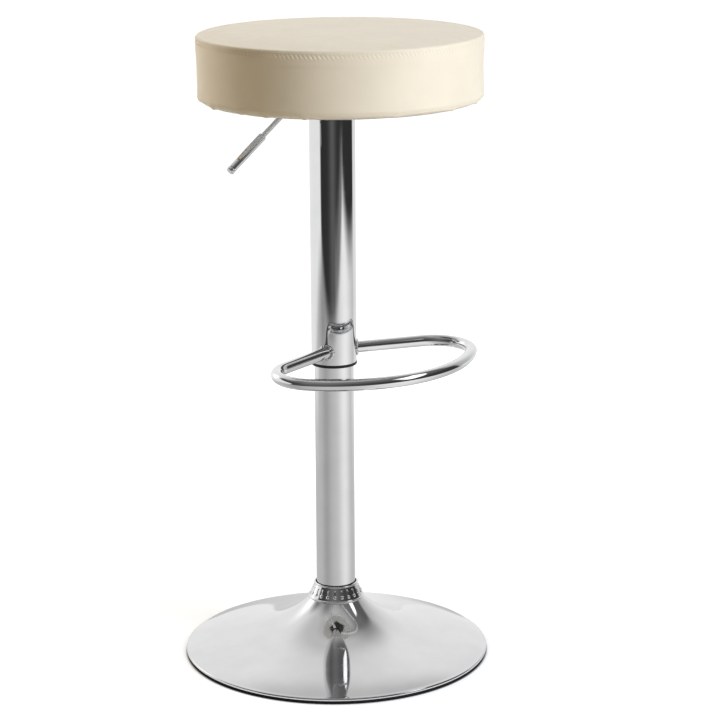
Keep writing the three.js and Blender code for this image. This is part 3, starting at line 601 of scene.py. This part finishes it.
def make_sleeve():
    low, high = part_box("sleeve_tube")
    piece = pipe("seat_sleeve", SLEEVE_RADIUS, SLEEVE_WALL, low.z, high.z)
    place(piece, "carriage", "chrome", "sleeve_tube")
    low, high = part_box("sleeve_bush")
    bore, flange = COLUMN_RADIUS + 0.25 * MM, high.x
    flange_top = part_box("sleeve_tube")[0].z
    profile = [(bore, low.z + 0.3 * MM), (bore + 0.3 * MM, low.z)]
    profile += arc((flange - 0.8 * MM, low.z + 0.8 * MM), 0.8 * MM, -90, 0, 5)
    profile += arc((flange - 0.3 * MM, flange_top - 0.3 * MM), 0.3 * MM, 0, 90, 3)
    barrel = SLEEVE_RADIUS - SLEEVE_WALL - 0.2 * MM
    profile += [(barrel, flange_top), (barrel, high.z), (bore, high.z)]
    place(lathe("black_foot_bush", profile, 160), "carriage", "black_plastic", "sleeve_bush")


# Footrest

ARM_ANGLE = radians(72.75)
APEX = 7 * MM
ARC_RADIUS = 177.8 * MM
ARC_CENTRE = 10 * MM
CORNER_RADIUS = 43.9 * MM
DROOP = radians(1.5)


def footrest_line():
    """The footrest's middle line, from the sleeve's axis round the loop and back."""
    along = np.array((sin(ARM_ANGLE), -cos(ARM_ANGLE)))
    across = np.array((-cos(ARM_ANGLE), -sin(ARM_ANGLE)))
    apex, middle = np.array((0, -APEX)), np.array((0, ARC_CENTRE))
    offset = apex + across * CORNER_RADIUS - middle
    back = offset @ along
    reach = ARC_RADIUS - CORNER_RADIUS
    length = sqrt(back * back - offset @ offset + reach * reach) - back
    arm_end = apex + along * length
    corner = arm_end + across * CORNER_RADIUS
    touch = degrees(atan2(*(corner - middle)[::-1]))
    start = degrees(atan2(*(-across)[::-1]))
    arm = np.linspace(apex, arm_end, 34)
    bend = arc(corner, CORNER_RADIUS, start, touch, 29)[1:]
    front = arc(middle, ARC_RADIUS, touch, -90, 43)[1:]
    half = np.vstack([arm, bend, front])
    other = half[:-1][::-1] * np.array((-1, 1))
    flat = np.vstack([half, other])
    tilt = np.stack([flat[:, 0], flat[:, 1] * cos(DROOP), flat[:, 1] * sin(DROOP)], axis=1)
    return tilt + np.array((0, 0, FOOTREST_HEIGHT))


def onto_sleeve(ring, direction):
    """A section of the bar moved in a direction until it is just inside the sleeve's wall."""
    d = unit(direction)
    a = d[0] ** 2 + d[1] ** 2
    b = ring[:, 0] * d[0] + ring[:, 1] * d[1]
    c = ring[:, 0] ** 2 + ring[:, 1] ** 2 - (SLEEVE_RADIUS - 0.5 * MM) ** 2
    return ring + np.outer((-b - np.sqrt(np.maximum(b * b - a * c, 0))) / a, d)


def make_footrest():
    path = footrest_line()
    across, up = path_frames(path)
    clear = SLEEVE_RADIUS + 9 * MM
    first = next(i for i, p in enumerate(path) if hypot(p[0], p[1]) > clear)
    last = len(path) - first
    radii = np.full(32, FOOTREST_RADIUS)
    rings = [section_points(path[i], across[i], up[i], radii) for i in range(first, last)]
    ends = [
        onto_sleeve(rings[0], path[first - 1] - path[first]),
        onto_sleeve(rings[-1], path[last] - path[last - 1]),
    ]
    tips = [end.mean(axis=0, keepdims=True) for end in ends]
    points, rows = [], []
    for ring in [tips[0], ends[0], *rings, ends[1], tips[1]]:
        add_row(points, rows, ring)
    loop = add_mesh("footrest_loop", points, skin(rows), 60)
    place(loop, "carriage", "chrome", "footrest")
    for number, end in enumerate(ends, 1):
        bead = weld(f"footrest_weld_{number}", end, number)
        place(bead, "carriage", "chrome")


def weld(name, outline, seed):
    """A rippled weld bead laid along a closed outline, with a few proud drops."""
    closed = np.vstack([outline, outline[:1]])
    count, sides = 96, 14
    shares = np.linspace(0, len(outline), count, endpoint=False)
    path = np.stack([np.interp(shares, np.arange(len(closed)), line) for line in closed.T], axis=1)
    path += 1.0 * MM * unit(path - path.mean(axis=0))
    path[:, :2] += 0.6 * MM * unit(path[:, :2])

    def lumps(i, k):
        angle = TAU * i / count
        ripple = 0.1 * sin(22 * angle + seed)
        along = (3.2 * cos(angle), 3.2 * sin(angle), 7.3 * seed + 0.4 * k / sides)
        return 1 + ripple + 0.55 * noise.noise(Vector(along))

    return tube(name, path, 1.9 * MM, sides, closed=True, lumps=lumps)


# Lever

def make_lever():
    bend_x, end_x, bend_radius = 70.6 * MM, 153 * MM, 14 * MM
    slope = np.array((-cos(LEVER_SLOPE), 0, -sin(LEVER_SLOPE)))
    bend = np.array((-bend_x, 0, LEVER_HEIGHT))
    end = bend + slope * (end_x - bend_x) / cos(LEVER_SLOPE)
    tangent = bend_radius * tan(LEVER_SLOPE / 2)
    before, after = bend + np.array((tangent, 0, 0)), bend + slope * tangent
    start = np.array((2 * MM, 0, LEVER_HEIGHT))
    straight = np.linspace(start, before, 30)
    turn = [
        (1 - t) ** 2 * before + 2 * t * (1 - t) * bend + t * t * after
        for t in np.linspace(0, 1, 14)[1:]
    ]
    down = np.linspace(after, end, 24)[1:]
    rod = tube("rod_part", np.vstack([straight, turn, down]), LEVER_RADIUS, 28)
    boss = lathe("boss_part", [
        (2.3 * MM, -3.5 * MM), (4.2 * MM, -3.5 * MM), (4.6 * MM, -3.1 * MM),
        (4.6 * MM, 3.1 * MM), (4.2 * MM, 3.5 * MM), (2.3 * MM, 3.5 * MM),
    ], 40)
    fulcrum = Matrix.Translation((-32 * MM, 0, LEVER_HEIGHT))
    boss.matrix_world = fulcrum @ Matrix.Rotation(pi / 2, 4, "X")
    bpy.context.view_layer.update()
    place(joined("lift_lever_rod", [rod, boss]), "lever", "chrome", "lever_rod")
    make_grip(end, slope)


def make_grip(end, slope):
    """The grip: a plain chrome sleeve with an eased mouth, a fine groove and a rounded nose."""
    length, radius, nose = 62 * MM, 5.1 * MM, 1.6 * MM
    profile = [(LEVER_RADIUS + 0.15 * MM, 0.2 * MM), (radius - 1.1 * MM, 0)]
    profile += arc((radius - 0.8 * MM, 0.8 * MM), 0.8 * MM, -80, 0, 6)
    groove, cap = length - 4.6 * MM, radius + 0.3 * MM
    profile += [(radius, z) for z in (1.6 * MM, 2.4 * MM, groove - 1.6 * MM, groove - 0.8 * MM)]
    profile += [(radius - 0.15 * MM, groove - 0.1 * MM), (radius - 0.7 * MM, groove + 0.1 * MM)]
    profile += [(radius - 0.7 * MM, groove + 0.7 * MM), (cap - 0.2 * MM, groove + 0.8 * MM)]
    profile += arc((cap - nose, length - nose), nose, 0, 84, 9)
    profile += [(0, length), (0, length - nose), (LEVER_RADIUS + 0.15 * MM, length - nose)]
    piece = lathe("grip_part", profile, 64)
    foot = end + slope * (2.3 * MM - length)
    turn = Vector((0, 0, 1)).rotation_difference(Vector(slope)).to_matrix().to_4x4()
    piece.matrix_world = Matrix.Translation(foot) @ turn
    bpy.context.view_layer.update()
    place(joined("lift_lever_grip", [piece]), "lever", "chrome", "lever_grip")


# Seat

# Points round the seat in each kind of row
FINE = 1760
MEDIUM = 440
COARSE = 220
STITCH_ROWS = ((785.7 * MM, 251), (781.3 * MM, 208))
SEAM_HEIGHT = 783.6 * MM
EDGE_RADIUS = 3.8 * MM
PROUD = 0.5 * MM
SIDE_RADIUS = SEAT_RADIUS + PROUD
EDGE_MIDDLE = (SIDE_RADIUS - EDGE_RADIUS, SEAT_EDGE - EDGE_RADIUS)
FOLD_START = 163 * MM

# Places round the seat, in degrees from the camera's side, where the cover is pulled into a fold
FOLDS = (
    -168, -151, -137, -118, -101, -84, -62, -43, -30.6, -14.2,
    22.2, 49.9, 71, 88, 104, 121, 139, 156,
)


def seat_rows():
    """The cushion's outer line as (radius, height, points round it), from the crown to the hem."""
    crown_radius = SEAT_RADIUS - 4 * MM
    fine_end, bow_top, foot = 773 * MM, 770 * MM, SEAT_BOTTOM + 5.5 * MM
    rows = []
    for share in (0, 0.06, 0.13, 0.21, 0.3, 0.39, 0.48, 0.57, 0.66, 0.74, 0.81, 0.87, 0.92):
        rows.append((crown_radius * share, SEAT_EDGE + SEAT_CROWN * (1 - share ** 2), COARSE))
    for share in (0.955, 0.98, 0.993):
        radius = EDGE_MIDDLE[0] * share
        rows.append((radius, SEAT_EDGE + SEAT_CROWN * (1 - (radius / crown_radius) ** 2), MEDIUM))
    rows += [(r, z, FINE) for r, z in arc(EDGE_MIDDLE, EDGE_RADIUS, 84, 0, 13)]
    fine = np.arange(EDGE_MIDDLE[1] - 0.8 * MM, fine_end, -0.8 * MM)
    rows += [(SIDE_RADIUS, z, FINE) for z in fine]
    for share in (0.2, 0.4, 0.6, 0.8, 1):
        radius = SIDE_RADIUS - PROUD * step(share, 0, 1)
        rows.append((radius, fine_end - 8 * MM * share, MEDIUM))
    for z in np.linspace(bow_top - 9 * MM, foot, 15):
        hollow = 0.5 * MM * sin(pi * (z - foot) / (bow_top - foot))
        rows.append((SEAT_RADIUS - hollow, z, MEDIUM))
    tuck = (SEAT_RADIUS - 0.7 * MM - 5.5 * MM, foot)
    rows += [(r, z, MEDIUM) for r, z in arc(tuck, 5.5 * MM, -8, -90, 9)]
    rows += [(r * MM, SEAT_BOTTOM, MEDIUM) for r in (166, 163, 160, 157, 154, 150)]
    return rows


def simulate_cover(rows, lengths):
    """Blows the cover up as cloth, held at the staples and the seam. Returns how far it moved."""
    count, cell, frames = 180, 6.5 * MM, 20
    hem, corner, near_staple = 162 * MM, 168 * MM, 0.03
    places = [*np.arange(0, lengths[-1], cell), lengths[-1]]
    radii, heights, _ = zip(*rows)
    picked = [(np.interp(p, lengths, radii), np.interp(p, lengths, heights)) for p in places]
    rest, grid = [], []
    for radius, height in picked:
        add_row(rest, grid, ring_points(radius, height, count, SEAT_X))
    cloth = add_mesh("cover_cloth", rest, skin(grid))
    if sum(p.normal.z for p in cloth.data.polygons if p.center.z > SEAT_EDGE) < 0:
        cloth.data.flip_normals()
    pins = cloth.vertex_groups.new(name="held")
    chooser = random.Random(7)
    staples = sorted(chooser.uniform(0, TAU) for _ in range(34))
    angles = turn_steps(count)
    for ring, (radius, height) in zip(grid, picked):
        for angle, index in zip(angles, ring):
            if radius < hem and height < SEAT_BOTTOM + MM:
                weight = 1.0
            elif radius < corner and height < SEAT_BOTTOM + MM:
                near = min(abs(turn_between(angle, staple)) for staple in staples)
                weight = 1.0 if near < near_staple else 0.15
            elif abs(height - SEAM_HEIGHT) < 4.5 * MM:
                weight = 0.85
            else:
                weight = 0.0
            if weight:
                pins.add([index], weight, "REPLACE")
    cover = cloth.modifiers.new("cover", "CLOTH")
    for key, value in dict(
        quality=5, mass=0.3, tension_stiffness=30, compression_stiffness=30, shear_stiffness=12,
        bending_stiffness=2, air_damping=2, use_pressure=True, uniform_pressure_force=4,
        vertex_group_mass="held",
    ).items():
        setattr(cover.settings, key, value)
    cover.settings.effector_weights.gravity = 0
    cover.collision_settings.use_collision = False
    cover.point_cache.frame_start = 1
    cover.point_cache.frame_end = frames
    for number in range(1, frames + 1):
        scene.frame_set(number)
    shape = cloth.evaluated_get(bpy.context.evaluated_depsgraph_get()).to_mesh()
    moved = np.array([v.co for v in shape.vertices]) - np.array(rest)
    scene.frame_set(1)
    bpy.data.objects.remove(cloth)
    largest = 2.2 * MM
    size = np.linalg.norm(moved, axis=1)
    moved *= (largest * np.tanh(size / largest) / np.maximum(size, 1e-9))[:, None]
    out, rise = [np.zeros(count)], [np.full(count, moved[0, 2])]
    for ring in grid[1:]:
        out.append(moved[ring, 0] * np.cos(angles) + moved[ring, 1] * np.sin(angles))
        rise.append(moved[ring, 2])
    return np.array(places), np.array(out), np.array(rise)


def around(values, count):
    """Resamples a ring of values to another count, smoothly."""
    have = len(values)
    waves = np.fft.rfft(values)
    keep = min(len(waves), have // 3)
    full = np.zeros(count // 2 + 1, complex)
    full[:keep] = waves[:keep]
    return np.fft.irfft(full, count) * count / have


def fold_shape(angles):
    """How far the cover is drawn into a fold at each angle, and how far it arches between folds."""
    chooser = random.Random(11)
    facing = radians(232)
    pull = np.zeros_like(angles)
    nearest = np.full_like(angles, pi)
    for fold in FOLDS:
        width = radians(chooser.uniform(1.3, 2.4))
        depth = chooser.uniform(0.7, 1.15)
        gap = np.abs(turn_between(angles, facing + radians(fold)))
        pull += depth * np.exp(-(gap / width) ** 1.4)
        nearest = np.minimum(nearest, gap)
    arch = np.clip(nearest / radians(9), 0, 1) ** 1.3
    return pull, arch


def make_cushion():
    rows = seat_rows()
    steps = [hypot(b[0] - a[0], b[1] - a[1]) for a, b in zip(rows, rows[1:])]
    lengths = np.concatenate([[0], np.cumsum(steps)])
    blown = simulate_cover(rows, lengths)
    points, grid = [], []
    for (radius, height, count), length in zip(rows, lengths):
        if radius < 1e-7:
            lift = 0 if blown is None else blown[2][0, 0]
            add_row(points, grid, [(SEAT_X, 0, height + lift)])
            continue
        angles = turn_steps(count)
        out, rise = np.zeros(count), np.zeros(count)
        if blown is not None:
            places, all_out, all_rise = blown
            i = min(max(int(np.searchsorted(places, length)) - 1, 0), len(places) - 2)
            t = (length - places[i]) / (places[i + 1] - places[i])
            out = around(all_out[i] * (1 - t) + all_out[i + 1] * t, count)
            rise = around(all_rise[i] * (1 - t) + all_rise[i + 1] * t, count)
        out, rise = add_folds(radius, height, angles, out, rise)
        if count == FINE:
            out = add_seam(height, angles, out)
        if height > 770 * MM or radius > 172 * MM:
            out = out + waver(angles, height)
        add_row(points, grid, polar(radius + out, angles, height + rise))
    add_row(points, grid, ring_points(149 * MM, SEAT_BOTTOM + 0.5 * MM, MEDIUM, SEAT_X))
    add_row(points, grid, [(SEAT_X, 0, SEAT_BOTTOM + 0.9 * MM)])
    cushion = add_mesh("seat_cushion", points, skin(grid))
    place(cushion, "carriage", "leather", "seat_cover", "seat_foam")


def add_folds(radius, height, angles, out, rise):
    """Draws the lower edge and the hem into folds at the staples."""
    if height > SEAT_BOTTOM + 34 * MM or radius < FOLD_START:
        return out, rise
    pull, arch = fold_shape(angles)
    drawn = 0.7 * MM * arch - 1.5 * MM * pull
    if height > SEAT_BOTTOM + 0.1 * MM:
        corner = max(0.0, 1 - (height - SEAT_BOTTOM) / (30 * MM)) ** 3
        return out + corner * (0.5 * MM * pull - 0.3 * MM * arch), rise + corner * drawn
    share = (radius - FOLD_START) / (SEAT_RADIUS - FOLD_START)
    circle = [(6.5 * cos(a), 6.5 * sin(a), 40 * radius) for a in angles]
    wrinkles = np.clip([noise.noise(Vector(at)) for at in circle], 0, 1)
    return out, rise + 0.9 * share * drawn - 0.8 * MM * wrinkles * sin(pi * min(share, 1))


def add_seam(height, angles, out):
    """The seam groove, the needle holes and the slanting puckers under the lower stitches."""
    uneven = 1 + 0.35 * np.sin(angles * 17 + 1) * np.sin(angles * 5.3 + 2)
    out = out - 0.4 * MM * lobe(height, SEAM_HEIGHT, 0.6 * MM)
    lower, number = STITCH_ROWS[1]
    band = exp(-((height - lower) / (2.4 * MM)) ** 4)
    slant = 0.71 * (SEAM_HEIGHT - height) / MM
    out = out + band * 0.17 * MM * uneven * np.cos(angles * number - slant)
    for row, number in STITCH_ROWS:
        holes = 0.5 + 0.5 * np.cos(angles * number + pi)
        out = out - lobe(height, row, 0.8 * MM) * (0.12 * MM + 0.25 * MM * holes)
    return out


def waver(angles, height):
    """A hand-made edge is never quite round."""
    slow = 0.25 * MM * np.sin(3 * angles + 0.6) * np.sin(height * 60)
    return slow + 0.15 * MM * np.sin(7 * angles)


def make_stitches():
    """Two rows of short thread stitches on either side of the seam."""
    points, faces = [], []
    turns = turn_steps(6)
    chooser = random.Random(5)
    for row, (height, number) in enumerate(STITCH_ROWS):
        tilt = asin(min(max((height - EDGE_MIDDLE[1]) / EDGE_RADIUS, 0), 1))
        surface = EDGE_MIDDLE[0] + EDGE_RADIUS * cos(tilt)
        for i in range(number):
            centre = TAU * (i + 0.5) / number
            length = TAU / number * chooser.uniform(0.62, 0.74)
            slant = chooser.uniform(0.1, 0.3) * MM * (-1 if row else 1)
            rows = []
            for t in np.linspace(0, 1, 7):
                angle = centre + length * (t - 0.5)
                thick = 0.3 * MM * sin(pi * min(max(t, 0.04), 0.96)) ** 0.45
                bow = 0.42 * MM * (sin(pi * t) - 1)
                r = surface + bow * cos(tilt) + thick * np.cos(turns)
                z = height + bow * sin(tilt) + slant * (2 * t - 1) + thick * np.sin(turns)
                add_row(points, rows, polar(r, angle, z))
            faces += skin(rows) + [rows[0][::-1], rows[-1]]
    place(add_mesh("seat_topstitching", points, faces), "carriage", "leather", material=thread)


def make_dust_cloth():
    """The cloth under the seat, with a folded edge and shallow wrinkles."""
    low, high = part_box("dust_cover")
    count, edge = 220, 167
    radii = (
        20, 40, 58, 72, 82, 92, 100, 108, 116, 124, 132, 140, 147, 153, 157,
        159.5, 161.5, 163.5, 165.3, 166.4, edge,
    )
    points, grid = [], []
    add_row(points, grid, [(SEAT_X, 0, low.z + 0.05 * MM)])
    for r in radii:
        outside = min(max((r - 118) / 20, 0), 1)
        fold = 0.35 * MM if 159 < r < 166.5 else 0
        ring = []
        for a in turn_steps(count):
            x, y = cos(a), sin(a)
            wave = noise.noise(Vector((0.04 * r * x, 0.04 * r * y, 3)))
            pleat = noise.noise(Vector((9 * x, 9 * y, 0.025 * r)))
            drop = outside * (0.28 * MM * wave + 0.3 * MM * pleat - 0.15 * MM) - fold
            radius = r * MM + (0.5 * MM * pleat if r > 165 else 0)
            ring.append(polar(radius, a, low.z + drop))
        add_row(points, grid, ring)
    for radius in (edge * MM - 0.2 * MM, 0):
        add_row(points, grid, ring_points(radius, high.z - 0.05 * MM, count, SEAT_X))
    cloth = add_mesh("underside_cloth", points, skin(grid), 60)
    place(cloth, "carriage", "dust_cloth", "dust_cover")


def make_staples():
    """Wire staples that hold the cloth's folded edge."""
    low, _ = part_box("dust_cover")
    chooser = random.Random(21)
    parts = []
    for i in range(30):
        angle = TAU * (i + chooser.uniform(-0.15, 0.15)) / 30
        tilt = chooser.uniform(-0.25, 0.25)
        radius = 162.6 * MM + chooser.uniform(-0.8, 0.8) * MM
        crown, leg = 4.8 * MM, 1.6 * MM
        bend = [(crown - 0.5 * MM, 0), (crown - 0.15 * MM, 0.15 * MM), (crown, 0.5 * MM)]
        half = [*bend, (crown, leg)]
        shape = [(-along, up) for along, up in half[::-1]] + half
        tangent = Vector((-sin(angle + tilt), cos(angle + tilt), 0))
        middle = Vector(polar(radius, angle, low.z - 0.75 * MM))
        path = [middle + tangent * along + Vector((0, 0, up)) for along, up in shape]
        parts.append(tube(f"staple_part_{i}", path, 0.32 * MM, 8))
    place(joined("edge_staples", parts), "carriage", "steel")


# Studio

def from_camera_side(across, away, height):
    """A place given as seen from the camera: to the right, away from it, and up."""
    return Vector((
        across * cos(TURN) + away * sin(TURN),
        -across * sin(TURN) + away * cos(TURN),
        height,
    ))


def from_bearing(bearing, distance, height):
    """A place by its bearing from the camera's side in degrees, its distance and its height."""
    turn = radians(bearing)
    return from_camera_side(distance * sin(turn), -distance * cos(turn), height)


def make_camera():
    distance, height = 2.96773, 1.144
    pitch, roll = radians(14.34), radians(-0.51)
    forward = from_camera_side(0, cos(pitch), -sin(pitch))
    right = from_camera_side(1, 0, 0)
    up = right.cross(forward)
    level_right = right * cos(roll) + up * sin(roll)
    level_up = up * cos(roll) - right * sin(roll)
    data = bpy.data.cameras.new("camera")
    data.sensor_width = 36
    data.lens = 2451.64 / 714 * 36
    data.shift_x = 19.99 / 714
    data.clip_end = 50
    camera = bpy.data.objects.new("camera", data)
    scene.collection.objects.link(camera)
    turn = Matrix((level_right, level_up, -forward)).transposed().to_4x4()
    camera.matrix_world = Matrix.Translation(from_camera_side(0, -distance, height)) @ turn
    scene.camera = camera


def seen_by_eye(tree):
    """One for camera, glossy and transmission rays, zero for light itself."""
    rays = tree.nodes.new("ShaderNodeLightPath").outputs
    seen = rays["Is Camera Ray"]
    for ray in ("Is Glossy Ray", "Is Transmission Ray"):
        either = add_node(tree, "ShaderNodeMath", operation="MAXIMUM")
        tree.links.new(seen, either.inputs[0])
        tree.links.new(rays[ray], either.inputs[1])
        seen = either.outputs[0]
    return seen


def blend(tree, share, first, second):
    """A mix of two shaders."""
    mix = tree.nodes.new("ShaderNodeMixShader")
    for source, target in zip((share, first.outputs[0], second.outputs[0]), mix.inputs):
        tree.links.new(source, target)
    return mix


def make_world():
    world = bpy.data.worlds.new("studio")
    world.use_nodes = True
    tree = world.node_tree
    fill = tree.nodes["Background"]
    set_node(tree, fill, Color=(0.205, 0.182, 0.138, 1))
    white = add_node(tree, "ShaderNodeBackground", Color=(1, 1, 1, 1))
    mix = blend(tree, seen_by_eye(tree), fill, white)
    set_node(tree, tree.nodes["World Output"], Surface=mix.outputs[0])
    scene.world = world


def show(tree, shader):
    """Makes a shader the material's surface, in place of the standard one."""
    tree.nodes.remove(tree.nodes["Principled BSDF"])
    set_node(tree, tree.nodes["Material Output"], Surface=shader.outputs[0])


def make_floor():
    """A pale floor that glows towards white further out, with a painted shadow ring under the rim.

    The light that it throws on the stool is white from close by and warm from further out."""
    size, depth = 9.0, -0.0003
    corners = [(x * size, y * size, depth) for x, y in ((-1, -1), (1, -1), (1, 1), (-1, 1))]
    floor = add_mesh("studio_floor", corners, [(0, 1, 2, 3)])
    material, tree = new_material("pale_floor")
    middle = add_node(tree, "ShaderNodeNewGeometry").outputs["Position"]
    length = add_node(tree, "ShaderNodeVectorMath", operation="LENGTH", Vector=middle)
    distance = length.outputs["Value"]
    far = add_range(tree, distance, 0.9, 1.7, 0, 1, "LINEAR")
    warmth = add_ramp(tree, far, (0.76, 0.79, 0.81), (1, 0.69, 0.2))
    bounce = add_node(tree, "ShaderNodeBsdfDiffuse", Color=warmth)
    strength = add_range(tree, distance, 0.25, 0.9, 0.6, 1)
    glow = add_node(tree, "ShaderNodeEmission", Color=(1, 1, 1, 1), Strength=strength)
    paint = add_node(tree, "ShaderNodeBsdfDiffuse", Color=(0.56, 0.55, 0.535, 1))
    both = add_node(tree, "ShaderNodeAddShader")
    for source, target in zip((paint, glow), both.inputs):
        tree.links.new(source.outputs[0], target)
    # Painted shadow where the rim meets the floor: a near-black ring just outside the base's rim,
    # mixed in by distance from the axis.
    dark = add_node(tree, "ShaderNodeBsdfDiffuse", Color=(0.01, 0.01, 0.01, 1))
    painted_shadow_ring = add_range(tree, distance, 0.1905, 0.1955, 0, 1)
    mix = blend(tree, seen_by_eye(tree), bounce, blend(tree, painted_shadow_ring, dark, both))
    show(tree, mix)
    floor.data.materials.append(material)


def room_shade(angle, rise):
    """How bright the painted reflection of the room is towards a bearing from the camera's side and
    an elevation, in degrees.

    The stool stands on a white sweep in a dim studio: a grey ceiling, and dark in front."""
    soft = 1.5 + 0.25 * rise
    left = -58 - 54 * step(rise, 6, 34) + 28 * step(rise, 44, 60)
    right = 115 + 4 * step(rise, 18, 28) + 11 * step(rise, 36, 48)
    front_share = step(angle, left - soft, left + soft)
    front_share *= 1 - step(angle, right - soft / 2, right + soft / 2)
    behind = 1 - 0.33 * step(rise, 40, 62) - 0.15 * step(rise, 64, 78)
    if angle > 0:
        high = step(rise, 36, 50) - 0.6 * step(rise, 54, 66)
        behind *= 0.5 + 0.5 * step(angle, 115, 165)
        behind *= 1 - 0.35 * high * (1 - step(angle, 130, 175))
    else:
        behind += 0.65 * lobe(angle, -127, 14) * (step(rise, 3, 10) - step(rise, 30, 42))
    front = 0.05 + 0.08 * lobe(angle, -10, 30) + 0.08 * step(rise, 25, 40)
    front += 0.06 * step(rise, 48, 60) + 0.3 * step(rise, 62, 76)
    front += 0.16 * step(rise, 40, 52) * (1 - step(angle, -85, -50))
    return behind * (1 - front_share) + front * front_share


def floor_shade(angle, distance):
    """How bright the painted reflection of the sweep and the floor beyond it is, by bearing and
    distance.
    """
    across = distance * sin(radians(angle))
    toward = distance * cos(radians(angle))
    near = 0.62 + 0.36 * lobe(angle, 58, 34) - 0.17 * lobe(angle, -50, 28)
    near += 0.1 * step(distance, 0.6, 1.4) * lobe(angle, 65, 50)
    near -= 0.1 * step(distance, 1.4, 1.9) * lobe(angle, -55, 15)
    if angle > 0:
        near += 0.35 * step(angle, 140, 176)
        near += (0.9 - near) * step(distance, 0.5, 1.5) * step(angle, 112, 124)
    else:
        near += 0.12 * step(-angle, 140, 176)
        start = 0.7 + 1.3 * step(angle, -120, -62)
        near += (1 - near) * step(distance, start, start + 1) * (1 - step(angle, -66, -56))
    slant = toward - 0.16 * across
    tail = 0.25 * step(across, 0.1, 0.6)
    front = (1 - tail) * step(slant, 1.5, 2.0) + tail * step(slant, 1.9, 2.9)
    dark = max(front, step(across, 2.1, 3.0)) * step(angle, -66, -56) * (1 - step(angle, 114, 122))
    return near * (1 - dark) + (0.035 + 0.085 * lobe(angle, 0, 16)) * dark


def shaded_card(name, places, faces, shades):
    """A glowing card, no lamp, that only shiny things see: a painted reflection. Its brightness is
    painted on its points.
    """
    card = add_mesh(name, places, faces)
    values = card.data.attributes.new("shade", "FLOAT_COLOR", "POINT")
    for value, shade in zip(values.data, shades):
        value.color = (shade, shade, shade, 1)
    material, tree = new_material(name)
    paint = add_node(tree, "ShaderNodeAttribute", attribute_name="shade")
    show(tree, add_node(tree, "ShaderNodeEmission", Color=paint.outputs["Color"]))
    card.data.materials.append(material)
    # Only glossy and transmission rays see it: a painted reflection that glows though it is no
    # lamp.
    for ray in ("camera", "diffuse", "shadow", "volume_scatter"):
        setattr(card, f"visible_{ray}", False)


def shaded_rings(name, shade, rings, top=None):
    """A painted reflection card made of level rings, each (radius, height, second argument of the
    shade).
    """
    points, rows, shades = [], [], []
    for radius, height, measure in rings:
        bearings = range(-180, 180)
        add_row(points, rows, [from_bearing(bearing, radius, height) for bearing in bearings])
        shades += [shade(bearing, measure) for bearing in bearings]
    if top is not None:
        add_row(points, rows, [from_camera_side(0, 0, top)])
        shades.append(np.mean(shades[-360:]))
    shaded_card(name, points, skin(rows), shades)


def make_room():
    """Glowing cards that paint the reflections of the floor and of a dome over the room, which the
    chrome mirrors, just above the real floor.
    """
    reach, lift = 6.0, 0.002
    distances = [0.2, 0.4, 0.7, 1.0] + [1.2 + 0.08 * i for i in range(27)] + [3.6, 4.4, reach]
    shaded_rings("painted_floor_reflection", floor_shade, [(far, lift, far) for far in distances])
    dome = []
    for rise in (*range(0, 90, 2), 89.5):
        turn = radians(rise)
        dome.append((reach * cos(turn), reach * sin(turn) + lift, rise))
    shaded_rings("painted_room_reflection", room_shade, dome, reach)


def make_key_image():
    """A painted reflection of the key softbox as the chrome mirrors it: a glowing leaning patch
    that is near, so it shifts.
    """
    distance, middle, steps = 1.1, 0.4, 20
    first, last = 53, 105
    places, shades = [], []
    for i in range(steps + 1):
        bearing = first + (last - first) * i / steps
        bottom, top = 12 + 0.9 * max(bearing - 62, 0), 45 + 0.24 * (bearing - 60)
        for j in range(steps + 1):
            rise = radians(bottom + (top - bottom) * j / steps)
            places.append(from_bearing(bearing, distance, middle + distance * tan(rise)))
            inside = step(i, 0, 3) * step(steps - i, 0, 4) * step(j, 0, 2) * step(steps - j, 0, 2)
            # Painted highlight: bright inside the patch, dim at its soft edges.
            shades.append(0.08 + 1.85 * inside)
    row = steps + 1
    faces = [
        (i * row + j, i * row + j + 1, (i + 1) * row + j + 1, (i + 1) * row + j)
        for i in range(steps) for j in range(steps)
    ]
    shaded_card("painted_key_reflection", places, faces, shades)


def add_lamp(name, bearing, distance, middle, width, length, power, colour=(1, 1, 1), aim=0.5):
    """A softbox that faces the stool's axis. The chrome mirrors the painted reflection cards
    instead of it.
    """
    data = bpy.data.lights.new(name, "AREA")
    data.shape = "RECTANGLE"
    data.size, data.size_y = width, length
    data.energy = power
    data.color = colour
    lamp = bpy.data.objects.new(name, data)
    scene.collection.objects.link(lamp)
    lamp.location = from_bearing(bearing, distance, middle)
    away = lamp.location - Vector((0, 0, aim))
    lamp.rotation_euler = away.to_track_quat("Z", "Y").to_euler()
    lamp.visible_glossy = False


def make_lights():
    add_lamp("key_softbox", 55, 2.2, 1.7, 1.0, 2.3, 70, (0.88, 0.985, 1.165), aim=1.7)
    add_lamp("left_softbox", -126, 2.2, 1.55, 0.6, 1.4, 36, (1.035, 1, 0.95), aim=1)
    add_lamp("top_softbox", 0, 0.01, 2.9, 1.6, 1.6, 11)


make_camera()
dress_solids()
make_base()
make_floor_ring()
make_collar()
make_column()
make_sleeve()
make_footrest()
make_lever()
make_cushion()
make_stitches()
make_dust_cloth()
make_staples()
make_world()
make_floor()
make_room()
make_key_image()
make_lights()
scene.view_settings.view_transform = "Standard"
